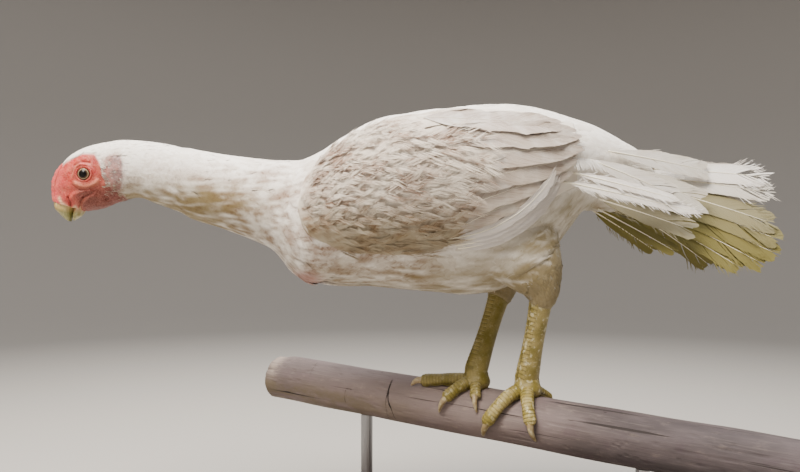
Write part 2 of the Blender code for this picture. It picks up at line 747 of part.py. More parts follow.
def build_tail(group, skins):
    """The fleshy tail with its long feathers in two fans, and the coverts over their roots."""
    tail = bpy.data.objects["tail"]
    vanes = []
    down = Vector((0, -math.sin(TAIL_LEAN), -math.cos(TAIL_LEAN)))
    out = Vector((0, -math.cos(TAIL_LEAN), math.sin(TAIL_LEAN)))
    for i, (droop, length, width) in enumerate(TAIL_FEATHERS):
        turn = math.radians(droop) - TAIL_BEND / 2
        ahead = Vector((1, 0, 0)) * math.cos(turn) + down * math.sin(turn)
        root = TAIL_ROOT + down * TAIL_ROOT_STEP * i - out * TAIL_DEPTH_STEP * i
        vanes.append(straight_feather(root, ahead, out, length, width, TAIL_TILT, 3, 4, TAIL_BEND))
    for root_x, root_z, root_y, droop, length, width, lean in TAIL_COVERTS:
        turn = math.radians(droop)
        lean = math.radians(lean)
        ahead = Vector((math.cos(turn), -TAIL_COVERT_FLARE, -math.sin(turn))).normalized()
        out = Vector((0, -math.cos(lean), math.sin(lean)))
        out = (out - ahead * out.dot(ahead)).normalized()
        root = Vector((root_x, root_y, root_z))
        vanes.append(straight_feather(root, ahead, out, length, width, TAIL_TILT, 2, 4, TAIL_BEND))
    pieces = [add_object("vane", mesh, group) for mesh in vanes]
    pieces += [mirrored("vane", piece, group) for piece in list(pieces)]
    combine(tail, pieces, "UNION")
    tail.data.materials.clear()
    tail.data.materials.append(skins["plumage"])


def body_mesh(grow=0.0):
    """Neck, torso and tail in one piece, with the same facets as the nodes."""
    stations = sorted(set(sum((list(part) for part in BODY_STATIONS.values()), [])))
    return rib_loft("body", BIRD_RIBS, stations, BODY_SIDES, grow)


def body_cutter(group):
    return add_object("body_cutter", body_mesh(GAP), group)


def surface_of(mesh):
    return BVHTree.FromPolygons([v.co for v in mesh.vertices], [p.vertices for p in mesh.polygons])


def wing_form(name, body, end, grow=0.0):
    """The folded left wing as one smooth form over the body, up to a position along its ribs."""
    arc = 7
    rings = []
    count = int(end * 0.8) + 2
    for i in range(count):
        rib_x, top, low, thickness = smooth_value(WING_RIBS, end * i / (count - 1))
        if i in (0, count - 1):
            rib_x += math.copysign(grow, i - 1)
        ring = []
        inner = []
        for k in range(arc):
            turn = math.pi * k / (arc - 1)
            z = (top + low) / 2 + ((top - low) / 2 + grow) * math.cos(turn)
            hit = body.ray_cast(Vector((rib_x, -0.2, z)), Vector((0, 1, 0)))
            skin = hit[0].y if hit[0] is not None else -0.01
            out = thickness * math.sin(turn) ** (2 * WING_FULLNESS) - WING_CORE_DEPTH + grow
            ring.append(Vector((rib_x, skin - max(out, 0.0), z)))
            if k % 2:
                inner.insert(0, Vector((rib_x, skin + WING_SINK, z)))
        rings.append(ring + inner)
    return loft(name, rings)


def vane(name, rows, thickness):
    """A thin closed blade. Each row across it gives its upper points and which way is out at each."""
    across = len(rows[0])
    points = []
    for row in rows:
        points += [point for point, _ in row]
        points += [point - out * thickness for point, out in row]
    faces = []
    wide = 2 * across
    for i in range(len(rows) - 1):
        a = i * wide
        b = a + wide
        for k in range(across - 1):
            for low in (0, across):
                faces.append((a + low + k, a + low + k + 1, b + low + k + 1))
                faces.append((a + low + k, b + low + k + 1, b + low + k))
        for k in (0, across - 1):
            faces.append((a + k, b + k, b + across + k))
            faces.append((a + k, b + across + k, a + across + k))
    for a in (0, (len(rows) - 1) * wide):
        for k in range(across - 1):
            faces.append((a + k, a + k + 1, a + across + k + 1, a + across + k))
    return mesh_from(name, points, faces)


def feather_shape(rows):
    """Shares of a feather's length and of its half width, from the root to the rounded tip."""
    shape = []
    for i in range(rows):
        share = i / (rows - 1)
        past = max(0.0, share - FEATHER_TIP_START) / FEATHER_TIP_LENGTH
        wide = min(1.0, FEATHER_ROOT_WIDTH + FEATHER_SPREAD * share)
        shape.append((share, wide * math.sqrt(max(0.0, 1 - past**2))))
    return shape


def wing_height(at_x, at_z):
    """How far the folded wing stands out of the body at a point of the side view."""
    last = len(WING_RIBS) - 1
    rib = 0
    while rib < last - 1 and WING_RIBS[rib + 1][0] < at_x:
        rib += 1
    share = (at_x - WING_RIBS[rib][0]) / (WING_RIBS[rib + 1][0] - WING_RIBS[rib][0])
    _, top, low, thickness = smooth_value(WING_RIBS, rib + min(max(share, 0.0), 1.0))
    offset = min(abs(at_z - (top + low) / 2) / ((top - low) / 2), WING_RIM)
    return thickness * (1 - offset**2) ** WING_FULLNESS


def wing_point(body, at_x, at_z, lift):
    """A point over the body's left side, with the way out there."""
    hit, out, _, _ = body.ray_cast(Vector((at_x, -0.2, at_z)), Vector((0, 1, 0)))
    if hit is None:
        hit, out, _, _ = body.find_nearest(Vector((at_x, -0.01, at_z)))
    return hit + out * (wing_height(at_x, at_z) + lift), out


def wing_feather(body, tip, heading, length, width, lifts, tilt, across, rows, bend=0.0):
    """A vane that lies on the wing, from its tip in the side view back to its sunk root."""
    root_lift, tip_lift = lifts
    strip = []
    at_x, at_z = tip
    step = length / (rows - 1)
    spots = []
    for i in range(rows):
        spots.append((at_x, at_z, heading))
        heading -= bend / (rows - 1)
        at_x -= step * math.cos(heading)
        at_z -= step * math.sin(heading)
    spots.reverse()
    for (share, wide), (at_x, at_z, turn) in zip(feather_shape(rows), spots):
        lift = root_lift + (tip_lift - root_lift) * share
        row = []
        for k in range(across):
            side = 1 - 2 * k / (across - 1)
            reach = width / 2 * wide * side
            spot = (at_x - math.sin(turn) * reach, at_z + math.cos(turn) * reach)
            row.append(wing_point(body, *spot, lift - tilt * side * (0.3 + 0.7 * share) / 2))
        strip.append(row)
    return vane("vane", strip, VANE_THICKNESS)


def covert_rows():
    """Tip, heading, length, width and rows of each small feather on the wing."""
    for count, back, length, width, (low, high), rows in COVERT_ROWS:
        for i in range(count):
            share = i / (count - 1)
            at_z = high + (low - high) * share
            curve = COVERT_ARC[0] if at_z > COVERT_ARC_HEIGHT else COVERT_ARC[1]
            at_x = -back + COVERT_ARC_FRONT - curve * (at_z - COVERT_ARC_HEIGHT) ** 2
            heading = math.radians(COVERT_HEADINGS[0] + (COVERT_HEADINGS[1] - COVERT_HEADINGS[0]) * share)
            yield (at_x, at_z), heading, length, width, rows


def build_wings(group, skins):
    """Both wings; returns a form of each, grown by the gap, that clears what lies under it."""
    body = surface_of(rib_loft("guide", BIRD_RIBS, spread(NECK_START + 3, TAIL_END, 90), 96))
    wing = add_object("wing_left", wing_form("wing", body, WING_CORE_END), group)
    vanes = []
    for (tip, heading), length in zip(SECONDARIES, SECONDARY_LENGTHS):
        heading = math.radians(heading)
        sizes = (length, SECONDARY_WIDTH, SECONDARY_LIFTS, SECONDARY_TILT)
        vanes.append(wing_feather(body, tip, heading, *sizes, 3, 5))
    for i in range(PRIMARY_COUNT):
        tip = (PRIMARY_TIP[0] - i * PRIMARY_STEP[0], PRIMARY_TIP[1] + i * PRIMARY_STEP[1])
        lifts = [lift + PRIMARY_RISE * i for lift in PRIMARY_LIFTS]
        heading, bend = (math.radians(angle) for angle in PRIMARY_HEADING)
        vanes.append(
            wing_feather(body, tip, heading, PRIMARY_LENGTH, PRIMARY_WIDTH, lifts, PRIMARY_TILT, 2, 5, bend)
        )
    for tip, heading, length, width, rows in covert_rows():
        vanes.append(wing_feather(body, tip, heading, length, width, COVERT_LIFTS, COVERT_TILT, 2, rows))
    pieces = [add_object("vane", mesh, group) for mesh in vanes]
    combine(wing, pieces, "UNION")
    combine(wing, [body_cutter(group)], "DIFFERENCE")
    wing.data.materials.clear()
    wing.data.materials.append(skins["plumage"])
    mirrored("wing_right", wing, group, skins["plumage"])
    clear_left = wing_form("wing_cutter", body, len(WING_RIBS) - 1, WING_CLEARANCE)
    return {"left": clear_left, "right": mirrored_mesh(clear_left)}


def pole_surface_point(station):
    along, _, up = pole_axes()
    return POLE_POINT + along * station + up * POLE_RADIUS


def leg_points(leg):
    """Hem of the thigh's feathers and ankle, on the line from the hock to the foot."""
    ankle = pole_surface_point(leg["foot_station"]) + Vector((0, 0, ANKLE_LIFT))
    down = (ankle - leg["hock"]).normalized()
    return leg["hock"] + down * HEM_DROP, ankle, down


def build_leg(side, leg, wing_cutter, group, skins):
    hem, ankle, down = leg_points(leg)
    thigh_path = [
        leg["hip"],
        leg["hip"].lerp(leg["hock"], 0.42),
        leg["hip"].lerp(leg["hock"], 0.80),
        leg["hock"] + down * 0.004,
        hem,
    ]
    thigh_rows = [(*p, *r) for p, r in zip(thigh_path, THIGH_RADII)]
    path = []
    radii = []
    for i in range(11):
        row = smooth_value(thigh_rows, 4 * i / 10)
        path.append(Vector(row[:3]))
        radii.append((row[4], row[3]))
    level = Vector((0, 1, 0))
    thigh = add_object("thigh_" + side, tube("thigh", path, radii, THIGH_SIDES, level), group)
    thigh_sleeve = sleeve_of(path, radii, THIGH_SIDES, level)
    cutters = [body_cutter(group), add_object("wing_cutter", wing_cutter, group)]
    combine(thigh, cutters, "DIFFERENCE")
    thigh.data.materials.clear()
    thigh.data.materials.append(skins["plumage"])

    start = hem - down * SINK
    length = (ankle - start).length
    count = 2 * int(length / SCUTE_PITCH) + 1
    path = []
    radii = []
    for i in range(count):
        share = i / (count - 1)
        across, along = smooth_value(SHANK_RADII, share * (len(SHANK_RADII) - 1))[::-1]
        path.append(start + down * length * share)
        rise = SCUTE_RISE if i % 2 else 0.0
        radii.append((across + rise * 0.4, along + rise))
    shank = add_object("shank_" + side, tube("shank", path, radii, SHANK_SIDES, level), group)
    shank_sleeve = sleeve_of(path, radii, SHANK_SIDES, level)
    combine(shank, [add_object("thigh_sleeve", thigh_sleeve, group)], "DIFFERENCE")
    shank.data.materials.clear()
    shank.data.materials.append(skins["leg"])
    build_foot(side, leg, ankle - down * SINK, shank_sleeve, group, skins)


def toe_path(station, heading, distance, radius):
    """A point on a toe that winds round the pole: heading is its angle from the pole's direction."""
    along, near, up = pole_axes()
    reach = POLE_RADIUS + radius * 0.86
    turn = -distance * math.sin(heading) / reach
    spot = POLE_POINT + along * (station + distance * math.cos(heading))
    out = near * math.sin(turn) + up * math.cos(turn)
    return spot + out * reach, out


def build_foot(side, leg, top, shank_sleeve, group, skins):
    along, near, up = pole_axes()
    station = leg["foot_station"]
    pieces = []
    claws = []
    for toe, (heading, length, root, tip) in leg["toes"].items():
        count = 2 * int(length / SCUTE_PITCH) + 1
        path = []
        radii = []
        for i in range(count):
            share = i / (count - 1)
            radius = root + (tip - root) * share
            spot, out = toe_path(station, heading, length * share, radius)
            path.append(spot)
            radii.append(radius + (SCUTE_RISE * 0.7 if i % 2 else 0.0))
        middle = toe_path(station, heading, length * 0.5, root)[1]
        pieces.append(add_object("toe", tube("toe", path, radii, TOE_SIDES, middle), group))
        sleeve = sleeve_of(path, radii, TOE_SIDES, middle)
        path = []
        radii = []
        for i in range(6):
            share = i / 5
            radius = tip * 0.78 * (1 - share) + 0.0006
            distance = length - SINK + (CLAW_LENGTH + SINK) * share
            spot, out = toe_path(station, heading, distance, radius)
            path.append(spot + out * CLAW_LIFT)
            radii.append(radius)
        claws.append((toe, tube("claw", path, radii, 7, out), sleeve))
    work = bmesh.new()
    bmesh.ops.create_uvsphere(work, u_segments=10, v_segments=6, radius=1.0)
    centre = pole_surface_point(station) + up * PAD_RADII[2] * 0.5
    size = Matrix.Diagonal((*PAD_RADII, 1.0))
    bmesh.ops.transform(work, matrix=Matrix.Translation(centre) @ size, verts=work.verts)
    pad = bpy.data.meshes.new("pad")
    work.to_mesh(pad)
    work.free()
    foot = add_object("foot_" + side, pad, group)
    across, thick = SHANK_RADII[-1]
    stem = [top, top.lerp(centre, 0.5), centre]
    stem_radii = [(thick * 0.98, across * 0.98), (thick * 1.08, across * 1.08), (thick, across)]
    pieces.append(add_object("stem", tube("stem", stem, stem_radii, SHANK_SIDES, Vector((0, 1, 0))), group))
    combine(foot, pieces, "UNION")
    cutter = add_object("pole_cutter", pole_mesh("pole_cutter", GAP), group)
    combine(foot, [cutter, add_object("shank_sleeve", shank_sleeve, group)], "DIFFERENCE")
    foot.data.materials.clear()
    foot.data.materials.append(skins["leg"])
    for toe, mesh, sleeve in claws:
        claw = add_object(f"claw_{side}_{toe}", mesh, group)
        cutter = add_object("pole_cutter", pole_mesh("pole_cutter", GAP), group)
        combine(claw, [cutter, add_object("sleeve", sleeve, group)], "DIFFERENCE")
        claw.data.materials.clear()
        claw.data.materials.append(skins["claw"])


def main():
    clear_scene()
    skins = {name: make_material(name) for name in SKINS}
    group = make_collection("aseel_hen")
    build_stand(group, skins)
    build_body(group, skins)
    build_tail(group, skins)
    build_head(group, skins)
    build_comb(group, skins)
    wing_cutters = build_wings(group, skins)
    for side, leg in LEGS.items():
        build_leg(side, leg, wing_cutters[side], group, skins)


main()
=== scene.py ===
import json
import math

import bmesh
import bpy
import numpy as np
from mathutils import Matrix, Vector, kdtree, noise
from mathutils.bvhtree import BVHTree

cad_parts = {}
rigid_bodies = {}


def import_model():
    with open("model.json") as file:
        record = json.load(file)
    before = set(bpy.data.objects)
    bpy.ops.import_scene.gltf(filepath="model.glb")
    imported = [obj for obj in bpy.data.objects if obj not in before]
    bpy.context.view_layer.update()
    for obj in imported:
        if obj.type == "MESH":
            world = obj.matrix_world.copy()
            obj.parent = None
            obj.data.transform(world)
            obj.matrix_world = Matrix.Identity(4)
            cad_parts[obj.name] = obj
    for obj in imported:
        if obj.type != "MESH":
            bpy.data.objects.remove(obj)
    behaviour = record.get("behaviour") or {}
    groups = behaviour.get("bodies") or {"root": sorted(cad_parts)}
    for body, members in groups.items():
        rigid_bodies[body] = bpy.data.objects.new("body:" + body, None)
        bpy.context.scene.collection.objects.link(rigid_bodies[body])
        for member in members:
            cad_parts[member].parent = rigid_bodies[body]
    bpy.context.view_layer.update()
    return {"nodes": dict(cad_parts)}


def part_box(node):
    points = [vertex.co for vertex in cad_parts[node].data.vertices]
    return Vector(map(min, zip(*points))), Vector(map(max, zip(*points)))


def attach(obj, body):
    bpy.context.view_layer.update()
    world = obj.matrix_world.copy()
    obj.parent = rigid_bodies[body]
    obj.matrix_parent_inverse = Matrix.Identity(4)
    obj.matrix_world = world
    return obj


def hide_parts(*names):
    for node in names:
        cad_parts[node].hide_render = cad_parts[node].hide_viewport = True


for leftover in list(bpy.data.objects):
    bpy.data.objects.remove(leftover)
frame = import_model()
print("frame loaded:", len(frame["nodes"]), "nodes")

# the bird's form, as in the solids: crown x z, keel x z, half width, waist share, squareness
birdRibs = np.array(
    (
        (-0.3385, 0.2953, -0.3112, 0.2871, 0.0090, 0.50, 2.2),
        (-0.3372, 0.3030, -0.3065, 0.2876, 0.0116, 0.50, 2.1),
        (-0.3362, 0.3130, -0.3000, 0.2884, 0.0146, 0.50, 2.1),
        (-0.3315, 0.3242, -0.2930, 0.2902, 0.0172, 0.54, 2.1),
        (-0.3232, 0.3338, -0.2850, 0.2935, 0.0188, 0.56, 2.1),
        (-0.3105, 0.3408, -0.2760, 0.2965, 0.0196, 0.54, 2.1),
        (-0.2950, 0.3452, -0.2680, 0.2980, 0.0202, 0.52, 2.1),
        (-0.2790, 0.3474, -0.2595, 0.2968, 0.0208, 0.50, 2.1),
        (-0.2610, 0.3468, -0.2495, 0.2925, 0.0216, 0.50, 2.1),
        (-0.2400, 0.3445, -0.2360, 0.2872, 0.0232, 0.50, 2.0),
        (-0.2150, 0.3388, -0.2150, 0.2785, 0.0256, 0.50, 2.0),
        (-0.1900, 0.3348, -0.1920, 0.2710, 0.0288, 0.50, 2.0),
        (-0.1650, 0.3322, -0.1690, 0.2620, 0.0330, 0.50, 2.0),
        (-0.1420, 0.3308, -0.1500, 0.2525, 0.0385, 0.50, 2.0),
        (-0.1235, 0.3318, -0.1350, 0.2355, 0.0455, 0.52, 2.0),
        (-0.1060, 0.3400, -0.1170, 0.2222, 0.0535, 0.52, 2.1),
        (-0.0850, 0.3535, -0.0940, 0.2222, 0.0605, 0.52, 2.1),
        (-0.0600, 0.3660, -0.0620, 0.2215, 0.0650, 0.52, 2.1),
        (-0.0250, 0.3722, -0.0250, 0.2178, 0.0665, 0.53, 2.1),
        (0.0150, 0.3768, 0.0200, 0.2155, 0.0645, 0.54, 2.1),
        (0.0500, 0.3782, 0.0520, 0.2230, 0.0590, 0.56, 2.1),
        (0.0800, 0.3740, 0.0780, 0.2430, 0.0500, 0.58, 2.0),
        (0.1040, 0.3662, 0.0970, 0.2680, 0.0400, 0.58, 2.0),
        (0.1240, 0.3590, 0.1120, 0.2860, 0.0310, 0.56, 2.0),
        (0.1460, 0.3470, 0.1340, 0.2850, 0.0225, 0.55, 2.0),
        (0.1620, 0.3360, 0.1520, 0.2900, 0.0140, 0.55, 2.0),
        (0.1720, 0.3250, 0.1670, 0.2990, 0.0060, 0.55, 2.0),
    )
)
neckStart = 8
bodyEnd = len(birdRibs) - 1
coatDepths = (  # at a rib, the depth of the plumage over the skin
    (0.0, 0.0),
    (5.0, 0.0002),
    (6.5, 0.0009),
    (9.0, 0.0018),
    (13.0, 0.0030),
    (15.0, 0.0042),
    (21.0, 0.0045),
    (24.0, 0.0035),
    (26.0, 0.0015),
)
wingRibs = (  # x, top z, low z, thickness over the body
    (-0.1240, 0.2930, 0.2850, 0.0040),
    (-0.1170, 0.3170, 0.2680, 0.0085),
    (-0.0980, 0.3370, 0.2585, 0.0120),
    (-0.0750, 0.3510, 0.2535, 0.0135),
    (-0.0500, 0.3600, 0.2515, 0.0140),
    (-0.0200, 0.3655, 0.2550, 0.0130),
    (0.0050, 0.3680, 0.2620, 0.0105),
    (0.0300, 0.3690, 0.2720, 0.0080),
    (0.0520, 0.3675, 0.2800, 0.0065),
    (0.0720, 0.3630, 0.2910, 0.0055),
    (0.0870, 0.3600, 0.3000, 0.0048),
    (0.1000, 0.3580, 0.3060, 0.0042),
)


# small tools
def smoothRows(rows, at):
    # smooth values between the rows of a table, at positions counted in rows
    rows = np.asarray(rows, float)
    at = np.asarray(at, float)
    last = len(rows) - 1
    first = np.clip(np.floor(at).astype(int), 0, last - 1)
    t = (at - first)[..., None]
    a, b, c, d = (rows[np.clip(first + k, 0, last)] for k in (-1, 0, 1, 2))
    return 0.5 * (2 * b + (c - a) * t + (2 * a - 5 * b + 4 * c - d) * t**2 + (3 * b - a - 3 * c + d) * t**3)


def smoothStep(low, high, value):
    t = np.clip((np.asarray(value, float) - low) / (high - low), 0, 1)
    return t * t * (3 - 2 * t)


def unit(vectors):
    return vectors / np.maximum(np.linalg.norm(vectors, axis=-1, keepdims=True), 1e-12)


def signedPower(value, power):
    return np.sign(value) * np.abs(value) ** power


def fromSide(tree, x, z):
    # where a line from the bird's left side meets a surface, and the way out there
    return tree.ray_cast(Vector((x, -0.2, z)), Vector((0, 1, 0)))[:2]


def lineDistance(points, line):
    # distance in the side view from points to a row of x, z spots
    spots = np.asarray(line, float)
    flat = np.asarray(points)[..., (0, 2)]
    best = np.full(flat.shape[:-1], 1e9)
    for a, b in zip(spots[:-1], spots[1:]):
        run = b - a
        share = np.clip(((flat - a) @ run) / (run @ run), 0, 1)
        best = np.minimum(best, np.linalg.norm(flat - a - share[..., None] * run, axis=-1))
    return best


def insideOutline(points, outline):
    spots = np.asarray(outline, float)
    x = np.asarray(points)[..., 0]
    z = np.asarray(points)[..., 2]
    found = np.zeros(x.shape, bool)
    for (xa, za), (xb, zb) in zip(spots, np.roll(spots, -1, axis=0)):
        crosses = (za > z) != (zb > z)
        reach = xa + (z - za) / np.where(zb == za, 1e-9, zb - za) * (xb - xa)
        found ^= crosses & (x < reach)
    return found


def meshFromGrid(name, grid, capped=True):
    # a tube-like shell from rings of points that run round the way in
    rows, sides = grid.shape[:2]
    i, k = np.meshgrid(np.arange(rows - 1), np.arange(sides), indexing="ij")
    n = (k + 1) % sides
    quads = np.stack((i * sides + k, i * sides + n, (i + 1) * sides + n, (i + 1) * sides + k), -1).reshape(-1, 4)
    faces = quads.tolist()
    if capped:
        faces.append(list(range(sides))[::-1])
        faces.append(list(range((rows - 1) * sides, rows * sides)))
    mesh = bpy.data.meshes.new(name)
    mesh.from_pydata(grid.reshape(-1, 3).tolist(), [], faces)
    mesh.shade_smooth()
    return mesh


def addObject(name, mesh, material=None):
    piece = bpy.data.objects.new(name, mesh)
    bpy.context.scene.collection.objects.link(piece)
    if material is not None:
        mesh.materials.clear()
        mesh.materials.append(material)
    return piece


def setAttribute(mesh, name, values, kind="FLOAT_VECTOR"):
    if name in mesh.attributes:
        mesh.attributes.remove(mesh.attributes[name])
    layer = mesh.attributes.new(name, kind, "POINT")
    field = "vector" if kind == "FLOAT_VECTOR" else "value"
    layer.data.foreach_set(field, np.asarray(values, np.float32).reshape(-1))


def meshPoints(mesh):
    points = np.zeros(len(mesh.vertices) * 3)
    mesh.vertices.foreach_get("co", points)
    return points.reshape(-1, 3)


def treeOf(mesh):
    return BVHTree.FromPolygons([v.co for v in mesh.vertices], [p.vertices for p in mesh.polygons])


def applied(piece):
    # the piece with its modifiers turned into its mesh
    bpy.context.view_layer.update()
    mesh = bpy.data.meshes.new_from_object(piece.evaluated_get(bpy.context.evaluated_depsgraph_get()))
    piece.modifiers.clear()
    piece.data = mesh
    return piece


def joined(name, meshes, material):
    # several meshes as one piece
    points = []
    faces = []
    start = 0
    for mesh in meshes:
        points += [tuple(v.co) for v in mesh.vertices]
        faces += [[start + v for v in p.vertices] for p in mesh.polygons]
        start += len(mesh.vertices)
    mesh = bpy.data.meshes.new(name)
    mesh.from_pydata(points, [], faces)
    mesh.shade_smooth()
    return addObject(name, mesh, material)


def turnedOut(piece):
    # closed shells with every face pointing outwards
    work = bmesh.new()
    work.from_mesh(piece.data)
    bmesh.ops.recalc_face_normals(work, faces=work.faces)
    work.to_mesh(piece.data)
    work.free()
    return piece


def mirroredMesh(mesh):
    other = mesh.copy()
    other.transform(Matrix.Scale(-1, 4, Vector((0, 1, 0))))
    other.flip_normals()
    return other


def hexColour(code):
    # sRGB hex to the linear values that shaders take
    parts = [int(code[i : i + 2], 16) / 255 for i in (1, 3, 5)]
    return (*[p / 12.92 if p <= 0.04045 else ((p + 0.055) / 1.055) ** 2.4 for p in parts], 1.0)


def addNode(tree, kind, inputs=None, **settings):
    node = tree.nodes.new(kind)
    for key, value in settings.items():
        setattr(node, key, value)
    for key, value in (inputs or {}).items():
        if isinstance(value, bpy.types.NodeSocket):
            tree.links.new(value, node.inputs[key])
        else:
            node.inputs[key].default_value = value
    return node


def finishPiece(piece, nodes=()):
    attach(piece, "root")
    if nodes:
        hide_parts(*nodes)


# the body's surface
def bodyPoint(at, turn, inset=0.0, ribs=birdRibs):
    # turn runs from the crown round by the left side
    rib = smoothRows(ribs, at)
    zero = np.zeros_like(rib[..., 0])
    crown = np.stack((rib[..., 0], zero, rib[..., 1]), -1)
    keel = np.stack((rib[..., 2], zero, rib[..., 3]), -1)
    height = np.linalg.norm(crown - keel, axis=-1)
    up = (crown - keel) / height[..., None]
    waist = keel + up * (height * rib[..., 5])[..., None]
    power = 2 / rib[..., 6]
    rise = signedPower(np.cos(turn), power)
    side = -signedPower(np.sin(turn), power)
    reach = height * np.where(rise > 0, 1 - rib[..., 5], rib[..., 5]) - inset
    across = side * (rib[..., 4] - inset)
    return waist + up * (rise * reach)[..., None] + np.stack((zero, across, zero), -1)


def bodyFrame(at, turn, inset=0.0):
    # place, way back along the body, and way out
    ahead = unit(bodyPoint(at + 0.03, turn, inset) - bodyPoint(at - 0.03, turn, inset))
    around = unit(bodyPoint(at, turn + 0.02, inset) - bodyPoint(at, turn - 0.02, inset))
    return bodyPoint(at, turn, inset), ahead, unit(np.cross(around, ahead))


def coatDepth(at):
    table = np.array(coatDepths)
    return np.interp(at, table[:, 0], table[:, 1])


# markings that skin and plumage share
faceEdge = (  # where the bare face ends, in the side view, from the crown down
    (-0.3400, 0.3170),
    (-0.3300, 0.3215),
    (-0.3166, 0.3295),
    (-0.3083, 0.3328),
    (-0.2985, 0.3325),
    (-0.2925, 0.3240),
    (-0.2895, 0.3138),
    (-0.2842, 0.3040),
    (-0.2775, 0.2995),
    (-0.2755, 0.2925),
)
faceOutline = faceEdge + ((-0.2850, 0.2750), (-0.3500, 0.2750), (-0.3500, 0.3100))
earFlush = ((-0.2800, 0.3270), (-0.2790, 0.3180), (-0.2820, 0.3080))
earTuft = (-0.2880, 0.3180)  # thin pale feathering between the face and the flushed patch
cropPatch = (-0.1215, 0.2290)  # bare red skin under the crop
faceBack = -0.27  # the bare face lies ahead of this x


def markings(points):
    # bare skin, tan and olive, each 0 to 1; tan and olive are partly real stains and tint, partly painted shade
    # low on the body
    points = np.asarray(points)
    x = points[..., 0]
    z = points[..., 2]
    edge = lineDistance(points, faceEdge)
    inside = insideOutline(points, faceOutline) & (x < faceBack)
    bare = np.where(inside, 1.0, smoothStep(0.0035, 0.0, edge) * (x < faceBack))
    flush = smoothStep(0.0100, 0.0030, lineDistance(points, earFlush)) * (np.abs(points[..., 1]) > 0.008)
    tuft = np.hypot((x - earTuft[0]) / 0.0100, (z - earTuft[1]) / 0.0150)
    waves = np.sin(x / 0.00085 + 3 * np.sin(z / 0.0013)) * np.sin(z / 0.0011 + 2 * np.sin(x / 0.0017))
    mottled = 0.5 + 0.9 * waves
    thin = smoothStep(1.5, 0.2, tuft) * (np.abs(points[..., 1]) > 0.006)
    flush = np.clip(flush * (1.05 + 0.3 * mottled) + 0.95 * thin * (0.55 + 0.6 * mottled), 0, 1)
    crop = np.hypot((x - cropPatch[0]) / 0.013, (z - cropPatch[1]) / 0.0075)
    bare = np.clip(np.maximum.reduce((bare, 0.84 * flush, 0.85 * smoothStep(1.7, 0.4, crop))), 0, 1)
    # olive darkens the belly, rear, hock and lower neck: partly an olive tint, partly painted underside shade
    belly = smoothStep(0.285, 0.225, z) * smoothStep(-0.20, -0.05, x)
    rear = smoothStep(0.010, 0.080, x) * smoothStep(0.320, 0.285, z)
    hock = smoothStep(0.250, 0.200, z)
    throat = smoothStep(-0.110, -0.220, x) * smoothStep(0.322, 0.290, z)
    olive = np.clip(0.44 * belly + 0.58 * rear + 0.50 * hock + 0.86 * throat, 0, 0.9)
    # tan darkens the lower breast and lower neck towards the bottom: partly stains of tan, partly painted
    # underside shade
    breast = smoothStep(-0.25, -0.12, x) * smoothStep(0.02, -0.05, x)
    neck = 0.16 * smoothStep(-0.12, -0.2, x)
    tan = 0.28 * breast * smoothStep(0.345, 0.290, z) + neck * smoothStep(0.335, 0.305, z)
    return np.stack((bare, tan, olive), -1)


# materials
def startMaterial(name):
    # a new material, its tree, and the place of each point on the piece
    material = bpy.data.materials.new(name)
    material.use_nodes = True
    tree = material.node_tree
    return material, tree, addNode(tree, "ShaderNodeTexCoord").outputs["Object"]


def finishMaterial(tree, colour, settings, *reliefs):
    # colour, constants of the finish, and relief from the finest up: height, real depth in metres, strength
    shader = tree.nodes["Principled BSDF"]
    if isinstance(colour, bpy.types.NodeSocket):
        tree.links.new(colour, shader.inputs["Base Color"])
    else:
        shader.inputs["Base Color"].default_value = colour
    for key, value in settings.items():
        shader.inputs[key].default_value = value
    normal = {}
    for height, depth, strength in reliefs:
        inputs = {"Height": height, "Distance": depth, "Strength": strength, **normal}
        normal = {"Normal": addNode(tree, "ShaderNodeBump", inputs).outputs[0]}
    if normal:
        tree.links.new(normal["Normal"], shader.inputs["Normal"])
    return shader


def lumps(tree, place, size, detail=3.0, rough=0.5, stretch=(1, 1, 1)):
    # noise with lumps of that size in metres, drawn out where stretch is below 1
    place = addNode(tree, "ShaderNodeMapping", {"Vector": place, "Scale": stretch}).outputs[0]
    inputs = {"Vector": place, "Scale": 1.0 / size, "Detail": detail, "Roughness": rough}
    return addNode(tree, "ShaderNodeTexNoise", inputs).outputs[0]


def shareOf(tree, strength, spots):
    # a strength times each value; a value with two limits first fades from 0 to 1 between them
    share = strength
    for value, *limits in spots:
        if limits:
            inputs = {0: value, 1: limits[0], 2: limits[1]}
            value = addNode(tree, "ShaderNodeMapRange", inputs, interpolation_type="SMOOTHSTEP").outputs[0]
        share = addNode(tree, "ShaderNodeMath", {0: share, 1: value}, operation="MULTIPLY").outputs[0]
    return share


def layered(tree, colour, look, *layers):
    # colours laid over each other: name in the look, strength, and the spots where it shows
    for name, strength, *spots in layers:
        inputs = {0: shareOf(tree, strength, spots), 6: colour, 7: hexColour(look[name])}
        colour = addNode(tree, "ShaderNodeMix", inputs, data_type="RGBA").outputs[2]
    return colour


plumageLook = {
    "body": "#fcf8f1",
    "wing": "#efe7db",
    "flight": "#dbd7d6",
    "tail": "#f3f2f0",
    "shaded white": "#d9cfc1",
    # the tan, olive and gap colours below also serve as painted shade on the underside and between barbs
    "tan stain": "#967462",
    "olive and painted shade": "#7f6f40",
    "tail olive and painted shade": "#6f6833",
    "skin pink": "#94483c",
    "barb gap streaks and painted shade": "#6f543c",
    "clump": 0.0024,  # metres, barbs that cling together
    "barb pitch": 0.0006,  # real barbs stand about 0.3 mm apart; drawn coarser so that they show
}


